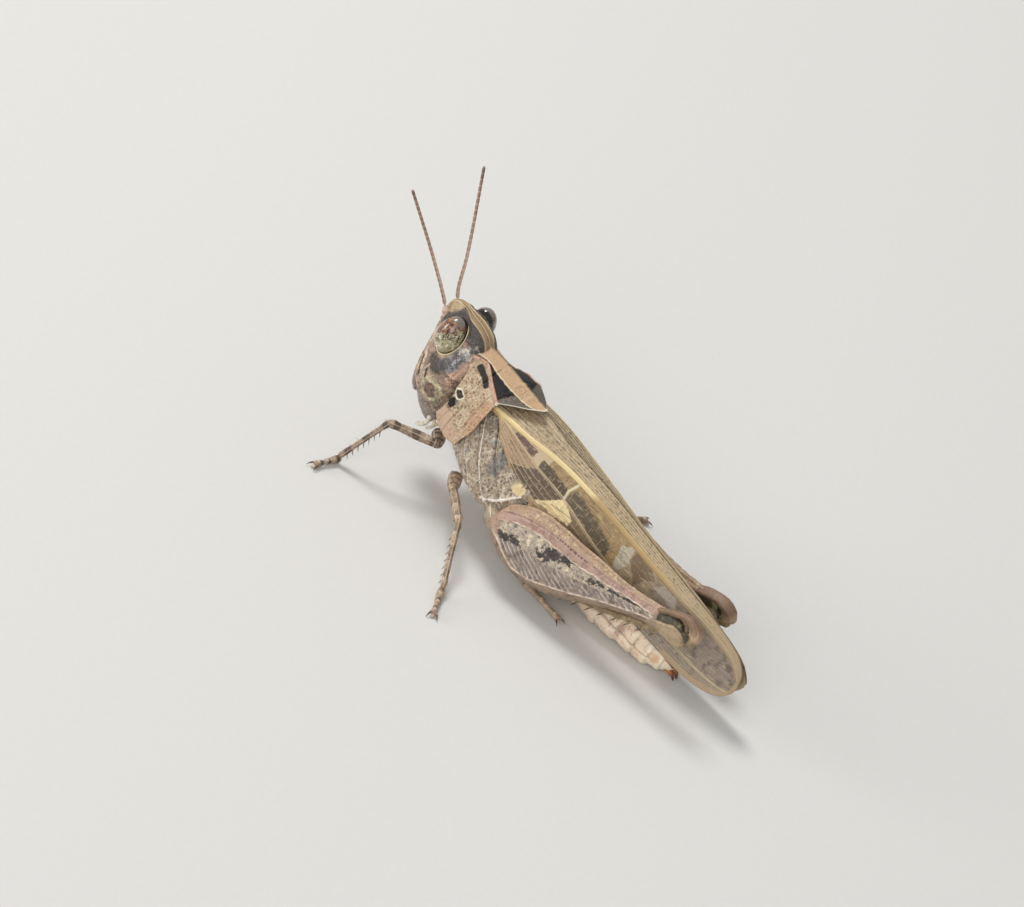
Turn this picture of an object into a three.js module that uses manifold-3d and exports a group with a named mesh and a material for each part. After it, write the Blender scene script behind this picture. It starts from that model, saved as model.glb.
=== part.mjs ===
// A resting short-horned grasshopper, life size. Millimetres; the head points toward -Y,
// the animal's own left is +X, and +Z is up. Its six feet stand on the plane z = 0.

import * as THREE from "three";
import Module from "manifold-3d";
import { mergeVertices } from "three/addons/utils/BufferGeometryUtils.js";

const wasm = await Module();
wasm.setup();

// ---------------------------------------------------------------- driving dimensions

const PRONOTUM_LENGTH = 4.65; // along the midline, from the head to the hind corner
const BODY_PITCH = 12; // degrees that the head end is raised
const BODY_LIFT = 0.4; // height of the trunk's own origin above the floor
const PLATE = 0.5; // thickness of a wing
const FEELER = 0.25; // half the thickness of an antenna
const GAP = 0.06; // clearance between neighbouring pieces
const SPINES = 5; // in each row on a hind shank

// The trunk is drawn level in its own frame: y = 0 at the hind corner of the pronotum,
// z = 0 just under the belly, and the frame is then pitched head up.
const EYE = {
  middle: [1.22, -6.25, 7.06],
  thick: 0.78,
  wide: 0.8,
  long: 1.15,
};

// [height, front edge, rear edge, half width] from the mouth up to the crown
const HEAD = [
  [2.45, -6.5, -4.35, 0.85],
  [3.1, -7.0, -4.2, 1.18],
  [4.0, -7.17, -4.05, 1.52],
  [5.0, -7.3, -3.95, 1.6],
  [6.0, -7.46, -3.95, 1.5],
  [6.8, -7.65, -4.1, 1.28],
  [7.4, -7.7, -4.4, 1.02],
  [7.85, -7.64, -4.8, 0.72],
  [8.1, -7.4, -5.4, 0.38],
];

// [height, front edge, rear edge, half width] of the lip and jaws
const JAWS = [
  [1.6, -5.6, -4.55, 0.4],
  [1.9, -6.0, -4.4, 0.62],
  [2.39, -6.42, -4.3, 0.8],
];

// [place along the body, crest height, keel half width, keel height, side half width,
//  lower edge half width, lower edge height]
const PRONOTUM = [
  [-4.72, 7.5, 1.02, 7.15, 1.62, 1.5, 4.3],
  [-4.3, 7.6, 0.95, 7.25, 1.72, 1.62, 3.5],
  [-3.5, 7.66, 0.78, 7.36, 1.86, 1.8, 3.05],
  [-2.9, 7.66, 0.95, 7.32, 1.95, 1.92, 3.0],
  [-2.2, 7.66, 1.5, 7.12, 2.05, 2.0, 3.15],
  [-1.5, 7.67, 1.86, 6.95, 2.1, 2.02, 3.6],
  [0.15, 7.68, 1.95, 6.8, 2.1, 2.0, 4.0],
];

// [place along the body, half width, top, bottom]
const BREAST = [
  [-4.35, 0.95, 4.6, 2.7],
  [-3.9, 1.2, 4.8, 2.5],
  [-2.75, 1.35, 4.9, 2.3],
];

const THORAX = [
  [-3.5, 1.3, 5.9, 2.5],
  [-2.6, 1.62, 6.1, 2.15],
  [-1.8, 1.95, 6.2, 1.85],
  [-0.8, 2.3, 6.25, 1.6],
  [0.4, 2.5, 6.25, 1.5],
  [1.6, 2.48, 6.2, 1.6],
  [2.4, 2.3, 6.1, 1.75],
  [2.8, 2.1, 6.05, 1.85],
];

const SUTURE = { top: -2.6, foot: 3.0 }; // at heights 8 and 0

const ABDOMEN = [
  [2.86, 1.85, 5.9, 1.75],
  [4.5, 1.7, 5.8, 1.66],
  [7.0, 1.58, 5.6, 1.62],
  [9.2, 1.5, 5.3, 1.68],
  [11.0, 1.35, 4.9, 2.04],
  [12.4, 1.1, 4.4, 2.34],
  [13.5, 0.6, 3.85, 2.8],
];
const ABDOMEN_CUTS = [6.3, 10.1];

// [place along the body, inner edge height, fold half width, fold height,
//  lower edge half width, lower edge height]
const FOREWING = [
  [-1.3, 6.95, 1.45, 6.6, 2.05, 5.25],
  [0.5, 7.15, 1.6, 6.85, 2.1, 4.75],
  [3.0, 7.3, 1.5, 7.1, 1.9, 4.3],
  [6.0, 7.4, 1.28, 7.25, 1.65, 4.15],
  [9.0, 7.3, 0.95, 7.14, 1.4, 4.1],
  [12.0, 7.2, 0.72, 7.1, 1.1, 4.0],
  [14.5, 7.15, 0.58, 7.05, 0.8, 3.95],
  [16.0, 6.95, 0.54, 6.88, 0.62, 4.45],
  [16.9, 6.5, 0.53, 6.45, 0.55, 5.1],
  [17.2, 6.1, 0.53, 6.05, 0.54, 5.6],
];

// [place along the body, top, bottom]
const HINDWING = [
  [3.0, 6.55, 6.02],
  [8.0, 6.65, 5.75],
  [12.0, 6.55, 5.3],
  [14.2, 6.4, 5.0],
  [14.9, 6.1, 5.3],
];

// The left legs' joints above the floor; the right legs mirror them but for the hind knee.
const FORE_LEG = {
  root: [1.05, -3.0, 3.15],
  hip: [1.75, -2.45, 3.15],
  knee: [3.2, -4.75, 3.3],
  ankle: [4.35, -6.0, 0.5],
  heel: [4.35, -6.0, 0.24],
  toe: [5.85, -6.25, 0.2],
};
const MID_LEG = {
  root: [1.75, -0.75, 2.3],
  hip: [2.35, -0.3, 2.05],
  knee: [4.6, 1.95, 2.35],
  ankle: [7.15, 3.98, 0.5],
  heel: [7.15, 3.98, 0.24],
  toe: [8.85, 4.98, 0.2],
};
const HIND_LEG = {
  root: [1.75, 2.2, 2.3],
  hip: [2.85, 2.87, 2.53],
  ankle: [2.02, 5.6, 0.72],
  heel: [2.05, 5.35, 0.24],
  toe: [2.55, 8.3, 0.2],
};
const HIND_KNEE = { left: [2.3, 15.95, 4.8], right: [2.1, 15.15, 3.9] };
const HIND_LEAN = 16.8; // degrees that a hind thigh's upper edge leans in over the back

// [part of the length, half height above, half height below, half thickness]
const HIND_THIGH = [
  [0.0, 0.35, 0.35, 0.4],
  [0.03, 1.0, 0.85, 0.62],
  [0.11, 1.52, 1.6, 0.78],
  [0.2, 1.66, 1.92, 0.85],
  [0.3, 1.48, 1.95, 0.85],
  [0.4, 1.2, 1.68, 0.8],
  [0.5, 0.98, 1.28, 0.68],
  [0.58, 0.72, 0.98, 0.56],
  [0.67, 0.56, 0.7, 0.46],
  [0.77, 0.5, 0.58, 0.42],
  [0.85, 0.7, 0.8, 0.48],
  [0.93, 0.92, 1.06, 0.52],
  [0.98, 0.8, 0.8, 0.46],
  [1.0, 0.4, 0.3, 0.32],
];

// [part of the length, half height, half width]
const SMALL_COXA = [
  [0, 0.5, 0.5],
  [1, 0.36, 0.36],
];
const HIND_COXA = [
  [0, 0.62, 0.6],
  [0.5, 0.66, 0.62],
  [1, 0.42, 0.42],
];
const SMALL_THIGH = [
  [0, 0.26, 0.24],
  [0.15, 0.34, 0.27],
  [0.5, 0.4, 0.29],
  [0.85, 0.3, 0.26],
  [0.95, 0.34, 0.3],
  [1, 0.24, 0.22],
];
const SMALL_SHANK = [
  [0, 0.25, 0.25],
  [0.1, 0.27, 0.26],
  [0.7, 0.25, 0.25],
  [1, 0.28, 0.27],
];
const HIND_SHANK = [
  [0, 0.4],
  [0.08, 0.33],
  [0.2, 0.25],
  [0.8, 0.26],
  [1, 0.3],
];
const FOOT = [
  [0, 0.24, 0.24],
  [0.3, 0.27, 0.27],
  [0.45, 0.22, 0.23],
  [0.6, 0.22, 0.22],
  [0.85, 0.2, 0.22],
  [1, 0.2, 0.26],
];

const CLAW = [
  [0, 0.1, 0.1],
  [1, 0.04, 0.04],
];
const SPINE = [
  [0, 0.1, 0.1],
  [1, 0.02, 0.02],
];

// ---------------------------------------------------------------- materials

function look(color, roughness, metalness = 0) {
  return new THREE.MeshStandardMaterial({ color, roughness, metalness });
}

const LOOKS = {
  shell: look("#8f7d68", 0.6),
  saddle: look("#a58c70", 0.6),
  eye: look("#7a6448", 0.18),
  feeler: look("#8a6a58", 0.5),
  belly: look("#c9b294", 0.65),
  wing: look("#857458", 0.55),
  veil: look("#a79c8a", 0.45),
  leg: look("#8d7a68", 0.6),
  thigh: look("#97807a", 0.55),
};

// ---------------------------------------------------------------- shaping tools

// Reads rows of [place, value, value, ...] at any place by a smooth curve through them.
function through(rows) {
  const slope = (row, column) => {
    const before = rows[Math.max(row - 1, 0)];
    const after = rows[Math.min(row + 1, rows.length - 1)];
    return (after[column] - before[column]) / (after[0] - before[0]);
  };
  return (place) => {
    const at = THREE.MathUtils.clamp(place, rows[0][0], rows.at(-1)[0]);
    let row = 0;
    while (row < rows.length - 2 && at > rows[row + 1][0]) row += 1;
    const [from, to] = [rows[row], rows[row + 1]];
    const span = to[0] - from[0];
    const s = (at - from[0]) / span;
    const rise = s * s * (3 - 2 * s);
    const leave = s * (1 - s) * (1 - s) * span;
    const arrive = s * s * (s - 1) * span;
    return from.slice(1).map((value, index) => {
      const column = index + 1;
      const bend = slope(row, column) * leave + slope(row + 1, column) * arrive;
      return THREE.MathUtils.lerp(value, to[column], rise) + bend;
    });
  };
}

// A closed skin wrapped round a run of rings: pointAt(t, angle, reach) places each vertex,
// with t from 0 to 1 along it, the angle from its side toward its top, and reach 0 at the
// middle of an end and 1 on the ring. Side x along = top keeps the faces turned outward.
function skin(sides, rings, pointAt) {
  const shape = new THREE.CylinderGeometry(1, 1, 1, sides, rings);
  shape.deleteAttribute("normal");
  shape.deleteAttribute("uv");
  const places = shape.attributes.position;
  for (let i = 0; i < places.count; i += 1) {
    const across = places.getX(i);
    const upward = places.getZ(i);
    const angle = Math.atan2(upward, across);
    const point = pointAt(places.getY(i) + 0.5, angle, Math.hypot(across, upward));
    places.setXYZ(i, ...point);
  }
  return mergeVertices(shape, 1e-5);
}

// Where a squared-off oval's edge lies at an angle, for a half width and half height of 1.
function rim(angle, squareness) {
  const bend = (value) => {
    const size = Math.abs(value) < 1e-9 ? 0 : Math.abs(value) ** (2 / squareness);
    return Math.sign(value) * size;
  };
  return [bend(Math.cos(angle)), bend(Math.sin(angle))];
}

// A limb from one point to another, with its upper side toward `top`.
function limb(from, to, rows, sides, rings, top = [0, 0, 1], squareness = 2.2) {
  const start = new THREE.Vector3(...from);
  const along = new THREE.Vector3(...to).sub(start);
  const direction = along.clone().normalize();
  const side = direction.clone().cross(new THREE.Vector3(...top)).normalize();
  const up = side.clone().cross(direction);
  const size = through(rows);
  return skin(sides, rings, (t, angle, reach) => {
    const values = size(t);
    const wide = values.at(-1);
    const above = values[0];
    const below = values.length > 2 ? values[1] : above;
    const [across, upward] = rim(angle, squareness);
    return start
      .clone()
      .addScaledVector(along, t)
      .addScaledVector(side, across * wide * reach)
      .addScaledVector(up, upward * (upward > 0 ? above : below) * reach)
      .toArray();
  });
}

function curveThrough(points) {
  return new THREE.CatmullRomCurve3(points.map((p) => new THREE.Vector3(...p)));
}

// A round rod that follows a smooth curve through a few points.
function rod(points, radiusAt, sides, rings) {
  const path = curveThrough(points);
  const reference = new THREE.Vector3(0, 0.3, 1);
  return skin(sides, rings, (t, angle, reach) => {
    const direction = path.getTangentAt(t);
    const side = direction.clone().cross(reference).normalize();
    const up = side.clone().cross(direction);
    const radius = radiusAt(t) * reach;
    return path
      .getPointAt(t)
      .addScaledVector(side, Math.cos(angle) * radius)
      .addScaledVector(up, Math.sin(angle) * radius)
      .toArray();
  });
}

// A body length with rows of [y, half width, top, bottom], widest below its middle.
function trunkLength(rows, from, to, sides, rings) {
  const size = through(rows);
  return skin(sides, rings, (t, angle, reach) => {
    const y = THREE.MathUtils.lerp(from, to, t);
    const [wide, top, bottom] = size(y);
    const middle = THREE.MathUtils.lerp(bottom, top, 0.4);
    const [across, upward] = rim(angle, angle > 0 ? 1.8 : 2.5);
    const rise = upward > 0 ? top - middle : middle - bottom;
    return [across * wide * reach, y, middle + upward * rise * reach];
  });
}

// An upright form with rows of [height, front edge, rear edge, half width].
function uprightForm(rows, sides, rings) {
  const size = through(rows);
  const [lowest, highest] = [rows[0][0], rows.at(-1)[0]];
  return skin(sides, rings, (t, angle, reach) => {
    const z = THREE.MathUtils.lerp(lowest, highest, t);
    const [front, rear, wide] = size(z);
    const middle = THREE.MathUtils.lerp(rear, front, 0.42);
    const [across, forward] = rim(angle, angle > 0 ? 1.9 : 2.8);
    const depth = forward > 0 ? middle - front : rear - middle;
    return [across * wide * reach, middle - forward * depth * reach, z];
  });
}

function solidOf(geometry) {
  return new wasm.Manifold(
    new wasm.Mesh({
      numProp: 3,
      vertProperties: Float32Array.from(geometry.attributes.position.array),
      triVerts: Uint32Array.from(geometry.index.array),
    }),
  );
}

function geometryOf(solid) {
  const mesh = solid.getMesh();
  const geometry = new THREE.BufferGeometry();
  geometry.setAttribute("position", new THREE.BufferAttribute(mesh.vertProperties, 3));
  geometry.setIndex(new THREE.BufferAttribute(mesh.triVerts, 1));
  return geometry;
}

function joined(...geometries) {
  return geometryOf(geometries.map(solidOf).reduce((all, next) => all.add(next)));
}

// What is left of a form once its neighbours are taken out of it, without loose slivers.
function cut(geometry, ...cutters) {
  const left = cutters.map(solidOf).reduce((all, next) => all.subtract(next), solidOf(geometry));
  const [largest] = left.decompose().sort((a, b) => b.volume() - a.volume());
  return geometryOf(largest);
}

// The same form swollen by the clearance, to cut room for it in a neighbour.
function room(geometry, clearance = GAP) {
  const bigger = geometry.clone();
  bigger.computeVertexNormals();
  const places = bigger.attributes.position;
  const outward = bigger.attributes.normal;
  for (let i = 0; i < places.count; i += 1) {
    places.setXYZ(
      i,
      places.getX(i) + outward.getX(i) * clearance,
      places.getY(i) + outward.getY(i) * clearance,
      places.getZ(i) + outward.getZ(i) * clearance,
    );
  }
  return bigger;
}

function mirrored(geometry) {
  const other = geometry.clone().scale(-1, 1, 1);
  const corners = other.index.array;
  for (let i = 0; i < corners.length; i += 3) {
    [corners[i + 1], corners[i + 2]] = [corners[i + 2], corners[i + 1]];
  }
  return other;
}

// A block with an outline in one plane, straight through along the plane's normal.
function slab(outline, depth) {
  const shape = new THREE.Shape(outline.map(([x, y]) => new THREE.Vector2(x, y)));
  const geometry = new THREE.ExtrudeGeometry(shape, { depth, bevelEnabled: false });
  geometry.deleteAttribute("normal");
  geometry.deleteAttribute("uv");
  return mergeVertices(geometry, 1e-5);
}

// The same block turned so that its outline lies in the y-z plane and it runs across x.
function crossSlab(outline, depth) {
  const turn = new THREE.Matrix4().makeBasis(
    new THREE.Vector3(0, 1, 0),
    new THREE.Vector3(0, 0, 1),
    new THREE.Vector3(1, 0, 0),
  );
  return slab(outline, depth).translate(0, 0, -depth / 2).applyMatrix4(turn);
}

// ---------------------------------------------------------------- the trunk

function eye() {
  const ball = new THREE.SphereGeometry(1, 12, 8);
  ball.deleteAttribute("normal");
  ball.deleteAttribute("uv");
  ball.rotateX(Math.PI / 2);
  ball.scale(EYE.thick, EYE.wide, EYE.long);
  ball.rotateY(-0.12);
  ball.rotateX(0.29);
  ball.rotateZ(-0.12);
  ball.translate(...EYE.middle);
  return mergeVertices(ball, 1e-5);
}

function pronotumForm() {
  const size = through(PRONOTUM);
  const [from, to] = [PRONOTUM[0][0], PRONOTUM.at(-1)[0]];
  return skin(20, 9, (t, angle, reach) => {
    const y = THREE.MathUtils.lerp(from, to, t);
    const [crest, keelX, keelZ, sideX, lowX, lowZ] = size(y);
    const fromTop = Math.abs(Math.PI / 2 - angle) % (2 * Math.PI);
    const part = Math.min(fromTop, 2 * Math.PI - fromTop) / Math.PI;
    const edge = through([
      [0, 0, crest],
      [0.15, keelX * 0.55, THREE.MathUtils.lerp(crest, keelZ, 0.45)],
      [0.3, keelX, keelZ],
      [0.38, keelX * 0.5 + sideX * 0.5, keelZ - 0.45],
      [0.6, sideX, THREE.MathUtils.lerp(keelZ, lowZ, 0.55)],
      [0.84, lowX, lowZ],
      [1, 0, lowZ],
    ]);
    const [x, z] = edge(part);
    const middle = THREE.MathUtils.lerp(crest, lowZ, 0.5);
    const side = Math.cos(angle) < 0 ? -1 : 1;
    return [side * x * reach, y, THREE.MathUtils.lerp(middle, z, reach)];
  });
}

// What lies in front of the pronotum's front edge, which bows back down the cheeks.
function beforePronotum() {
  const outline = [
    [-6, 9],
    [-PRONOTUM_LENGTH - 0.05, 9],
    [-PRONOTUM_LENGTH, 7.3],
    [-4.2, 6.5],
    [-3.9, 5.3],
    [-3.9, 4.4],
    [-4.15, 3.7],
    [-4.15, 0],
    [-6, 0],
  ];
  return crossSlab(outline, 8);
}

// What lies behind the pronotum's angled hind edge.
function behindPronotum() {
  const outline = [
    [0, 0],
    [2.0, -1.62],
    [2.6, -2.3],
    [2.6, 1],
    [-2.6, 1],
    [-2.6, -2.3],
    [-2.0, -1.62],
  ];
  return slab(outline, 12);
}

// What lies on one side of the leaning suture between the two hind rings of the thorax:
// 1 is the side toward the tail, -1 the side toward the head.
function besideSuture(side) {
  const shift = (side * -GAP) / 2;
  const outline = [
    [SUTURE.top + shift, 8],
    [SUTURE.foot + shift, 0],
    [side * 9, 0],
    [side * 9, 8],
  ];
  return crossSlab(outline, 8);
}

function forewing() {
  const size = through(FOREWING);
  const [from, to] = [FOREWING[0][0], FOREWING.at(-1)[0]];
  return skin(14, 12, (t, angle, reach) => {
    const y = THREE.MathUtils.lerp(from, to, t + 0.12 * Math.sin(Math.PI * t));
    const [ridgeZ, foldX, foldZ, lowX, lowZ] = size(y);
    const outside = through([
      [0, GAP / 2, ridgeZ],
      [0.3, foldX * 0.86, THREE.MathUtils.lerp(ridgeZ, foldZ, 0.7)],
      [0.42, foldX, foldZ - 0.12],
      [0.7, THREE.MathUtils.lerp(foldX, lowX, 0.6), THREE.MathUtils.lerp(foldZ, lowZ, 0.5)],
      [1, lowX, lowZ],
    ]);
    const fromTop = (Math.PI / 2 - angle + 2 * Math.PI) % (2 * Math.PI);
    const part = fromTop / Math.PI;
    const onOutside = part <= 1 + 1e-6;
    const [x, z] = outside(onOutside ? part : 2 - part);
    const inward = onOutside ? 0 : PLATE;
    const share = onOutside ? 0 : 2 - part;
    const edgeX = Math.max(GAP / 2, x - inward * Math.min(1, share * 2.4));
    const edgeZ = z - inward * Math.max(0, 1 - share * 1.3);
    const middleX = Math.max(foldX - PLATE / 2, GAP);
    const middleZ = foldZ - PLATE / 2;
    return [
      THREE.MathUtils.lerp(middleX, edgeX, reach),
      y,
      THREE.MathUtils.lerp(middleZ, edgeZ, reach),
    ];
  });
}

function hindwing() {
  const size = through(HINDWING);
  const [from, to] = [HINDWING[0][0], HINDWING.at(-1)[0]];
  const middleX = (GAP + PLATE) / 2;
  return skin(8, 5, (t, angle, reach) => {
    const y = THREE.MathUtils.lerp(from, to, t);
    const [top, bottom] = size(y);
    const [across, upward] = rim(angle, 4);
    const half = (top - bottom) / 2;
    return [
      middleX + across * (PLATE / 2 - GAP / 2) * reach,
      y,
      (top + bottom) / 2 + upward * half * reach,
    ];
  });
}

function palp(points) {
  return rod(points, (t) => 0.2 - 0.04 * t, 5, 2);
}

function mouthparts() {
  const outer = palp([[0.45, -4.75, 2.0], [0.62, -4.6, 1.5], [0.58, -4.75, 1.12]]);
  const inner = palp([[0.2, -4.65, 1.9], [0.22, -4.4, 1.4], [0.22, -4.5, 1.02]]);
  return joined(uprightForm(JAWS, 12, 3), outer, mirrored(outer), inner, mirrored(inner));
}

function feeler(side) {
  const tip = side > 0 ? [2.0, -12.3, 11.85] : [-2.0, -11.5, 13.2];
  const bend = side > 0 ? [0.95, -9.6, 9.2] : [-0.85, -8.9, 9.55];
  const points = [[side * 0.5, -7.5, 7.25], [side * 0.58, -8.0, 7.75], bend, tip];
  return rod(points, (t) => FEELER + 0.03 * Math.exp(-t * 12), 6, 8);
}

function cercus() {
  return rod([[0.42, 13.2, 3.75], [0.62, 13.75, 3.75]], (t) => 0.25 - 0.1 * t, 5, 1);
}

function valves() {
  const valve = (x, z, droop) => rod(
    [[x, 13.3, z], [x, 13.85, z + droop * 0.2], [x, 14.25, z + droop]],
    (t) => 0.27 - 0.14 * t,
    5,
    2,
  );
  const upper = valve(0.2, 3.5, 0.12);
  const lower = valve(0.2, 3.05, -0.1);
  return joined(upper, mirrored(upper), lower, mirrored(lower));
}

// ---------------------------------------------------------------- the legs

// A foot stands on a flat sole, with two claws spread in front of it.
function groundedFoot(leg) {
  const foot = limb(leg.heel, leg.toe, FOOT, 8, 4, [0, 0, 1], 6);
  const toe = new THREE.Vector3(...leg.toe);
  const forward = toe.clone().sub(new THREE.Vector3(...leg.heel)).setZ(0).normalize();
  const across = new THREE.Vector3(-forward.y, forward.x, 0);
  const claws = [-1, 1].map((side) => {
    const root = toe.clone().addScaledVector(across, side * 0.1).addScaledVector(forward, -0.08);
    const tip = root.clone().addScaledVector(across, side * 0.16).addScaledVector(forward, 0.42);
    tip.z = 0.09;
    return limb(root.toArray(), tip.toArray(), CLAW, 4, 1);
  });
  const whole = joined(foot, ...claws);
  const places = whole.attributes.position;
  for (let i = 0; i < places.count; i += 1) {
    if (places.getZ(i) < 0.06) places.setZ(i, 0);
  }
  return whole;
}

// Spines point down and toward the foot, in two rows along the shank.
function spine(root, along, side) {
  const tip = root
    .clone()
    .addScaledVector(along, 0.34)
    .add(new THREE.Vector3(side * 0.3, 0, -0.36));
  tip.z = Math.max(tip.z, 0.06);
  return limb(root.toArray(), tip.toArray(), SPINE, 3, 1);
}

// The folded shank hangs from the knee and lies along the thigh's lower keel.
function hindShank(knee) {
  const [x, y, z] = knee;
  const points = [
    [x, y - 0.65, z - 0.5],
    [x, y - 4.1, z - 1.85],
    [x - 0.05, y - 7.35, z - 3.02],
    HIND_LEG.ankle,
  ];
  const radius = through(HIND_SHANK);
  const parts = [rod(points, (t) => radius(t)[0], 8, 6)];
  const path = curveThrough(points);
  for (let i = 0; i < SPINES; i += 1) {
    const t = 0.28 + (0.6 * i) / (SPINES - 1);
    for (const side of [-1, 1]) {
      const root = path.getPointAt(t).add(new THREE.Vector3(side * 0.12, 0, -0.08));
      parts.push(spine(root, path.getTangentAt(t), side));
    }
  }
  return joined(...parts);
}

function smallLeg(leg) {
  const coxa = limb(leg.root, leg.hip, SMALL_COXA, 6, 2);
  const thigh = limb(leg.hip, leg.knee, SMALL_THIGH, 7, 5);
  const shank = limb(leg.knee, leg.ankle, SMALL_SHANK, 6, 5);
  return { coxa, thigh, shank, foot: groundedFoot(leg) };
}

function hindLeg(knee) {
  const lean = THREE.MathUtils.degToRad(HIND_LEAN);
  const top = [-Math.sin(lean), 0, Math.cos(lean)];
  const coxa = limb(HIND_LEG.root, HIND_LEG.hip, HIND_COXA, 8, 3);
  const thigh = limb(HIND_LEG.hip, knee, HIND_THIGH, 12, 14, top);
  const shank = hindShank(knee);
  return { coxa, thigh, shank, foot: groundedFoot(HIND_LEG) };
}

// Each piece of a leg gives way to the piece nearer its foot.
function parted(leg) {
  return {
    coxa: cut(leg.coxa, room(leg.thigh)),
    thigh: cut(leg.thigh, room(leg.shank)),
    shank: cut(leg.shank, room(leg.foot)),
    foot: leg.foot,
  };
}

// ---------------------------------------------------------------- assembly

const animal = new THREE.Group();
const trunk = new THREE.Group();
trunk.rotation.x = -THREE.MathUtils.degToRad(BODY_PITCH);
trunk.position.z = BODY_LIFT;
trunk.updateMatrix();
animal.add(trunk);

function place(name, geometry, material, parent = animal) {
  const mesh = new THREE.Mesh(geometry, material);
  mesh.name = name;
  parent.add(mesh);
}

// Brings a leg piece drawn above the floor into the trunk's own frame.
function seenFromTrunk(geometry) {
  return geometry.clone().applyMatrix4(trunk.matrix.clone().invert());
}

const legs = {
  fore_left: smallLeg(FORE_LEG),
  mid_left: smallLeg(MID_LEG),
  hind_left: hindLeg(HIND_KNEE.left),
};
const rightHind = hindLeg(HIND_KNEE.right);
const coxaRooms = Object.values(legs)
  .map((leg) => room(seenFromTrunk(leg.coxa)))
  .flatMap((form) => [form, mirrored(form)]);

const eyeForm = eye();
const headForm = uprightForm(HEAD, 16, 9);
const breastForm = trunkLength(BREAST, -4.35, -2.75, 12, 2);
const thoraxForm = trunkLength(THORAX, -2.95, 2.8, 16, 7);
const wingForm = forewing();
const bladeForm = hindwing();
const wingRooms = [room(wingForm), mirrored(room(wingForm))];
const bladeRooms = [room(bladeForm), mirrored(room(bladeForm))];

const headCut = cut(headForm, room(eyeForm), mirrored(room(eyeForm)));
place("head", headCut, LOOKS.shell, trunk);
place("eye_left", eyeForm, LOOKS.eye, trunk);
place("eye_right", mirrored(eyeForm), LOOKS.eye, trunk);
place("antenna_left", cut(feeler(1), room(headForm)), LOOKS.feeler, trunk);
place("antenna_right", cut(feeler(-1), room(headForm)), LOOKS.feeler, trunk);
place("mouthparts", cut(mouthparts(), room(headForm)), LOOKS.shell, trunk);

const saddle = cut(
  pronotumForm(),
  beforePronotum(),
  behindPronotum(),
  room(headForm),
  room(breastForm),
  room(thoraxForm),
  ...wingRooms,
  ...coxaRooms,
);
place("pronotum", saddle, LOOKS.saddle, trunk);
place("prosternum", cut(breastForm, room(headForm), room(thoraxForm), ...coxaRooms), LOOKS.shell, trunk);

const thoraxCut = cut(
  thoraxForm,
  room(breastForm),
  ...wingRooms,
  ...bladeRooms,
  ...coxaRooms,
);
place("mesothorax", cut(thoraxCut, besideSuture(1)), LOOKS.shell, trunk);
place("metathorax", cut(thoraxCut, besideSuture(-1)), LOOKS.shell, trunk);

const lengths = [THORAX.at(-1)[0] + GAP, ...ABDOMEN_CUTS, ABDOMEN.at(-1)[0]];
const valveForm = valves();
const cercusForm = cercus();
const cercusRooms = [room(cercusForm), mirrored(room(cercusForm))];
const tailRooms = [room(valveForm), ...cercusRooms];
["abdomen_front", "abdomen_middle", "abdomen_tip"].forEach((name, i) => {
  const form = trunkLength(ABDOMEN, lengths[i], lengths[i + 1] - GAP, 14, 3);
  place(name, cut(form, ...wingRooms, ...bladeRooms, ...tailRooms), LOOKS.belly, trunk);
});
place("ovipositor", cut(valveForm, ...cercusRooms), LOOKS.belly, trunk);
place("cercus_left", cercusForm, LOOKS.belly, trunk);
place("cercus_right", mirrored(cercusForm), LOOKS.belly, trunk);

place("forewing_left", wingForm, LOOKS.wing, trunk);
place("forewing_right", mirrored(wingForm), LOOKS.wing, trunk);
const blade = cut(bladeForm, ...wingRooms);
place("hindwing_left", blade, LOOKS.veil, trunk);
place("hindwing_right", mirrored(blade), LOOKS.veil, trunk);

const pairs = {
  fore: [legs.fore_left, legs.fore_left],
  mid: [legs.mid_left, legs.mid_left],
  hind: [legs.hind_left, rightHind],
};
const PIECES = { coxa: "coxa", thigh: "femur", shank: "tibia", foot: "tarsus" };
for (const [pair, [left, right]] of Object.entries(pairs)) {
  const leftPieces = parted(left);
  const rightPieces = parted(right);
  for (const [key, word] of Object.entries(PIECES)) {
    const finish = pair === "hind" && key === "thigh" ? LOOKS.thigh : LOOKS.leg;
    place(`${pair}_${word}_left`, leftPieces[key], finish);
    place(`${pair}_${word}_right`, mirrored(rightPieces[key]), finish);
  }
}

const box = new THREE.Box3().setFromObject(animal, true);
const centre = box.getCenter(new THREE.Vector3());
animal.position.set(-centre.x, -centre.y, 0);

export default animal;
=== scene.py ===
import functools
import itertools
import math

import bpy
import numpy as np
from mathutils import Matrix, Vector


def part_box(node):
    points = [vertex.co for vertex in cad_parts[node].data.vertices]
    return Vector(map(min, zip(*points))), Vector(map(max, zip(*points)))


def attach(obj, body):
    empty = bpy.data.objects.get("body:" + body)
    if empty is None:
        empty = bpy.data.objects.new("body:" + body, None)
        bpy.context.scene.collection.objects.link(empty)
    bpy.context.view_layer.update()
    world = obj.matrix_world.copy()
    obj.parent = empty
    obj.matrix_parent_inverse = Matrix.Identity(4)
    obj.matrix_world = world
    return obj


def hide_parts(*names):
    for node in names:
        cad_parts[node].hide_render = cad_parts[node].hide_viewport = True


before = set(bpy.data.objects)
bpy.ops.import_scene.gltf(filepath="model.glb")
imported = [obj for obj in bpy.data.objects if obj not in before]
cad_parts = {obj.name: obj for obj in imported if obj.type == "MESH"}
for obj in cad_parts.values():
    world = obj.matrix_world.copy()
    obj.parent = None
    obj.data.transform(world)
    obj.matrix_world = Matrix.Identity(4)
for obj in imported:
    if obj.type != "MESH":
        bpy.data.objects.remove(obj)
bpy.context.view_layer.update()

# ---------------------------------------------------------------- frames and units
# Forms are drawn in millimetres: the trunk in its own level frame (head toward -Y, left +X),
# the legs above the floor. Both end in the frame's metres.

MM = 0.001
PITCH = math.radians(12)
LIFT = 0.4
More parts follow.
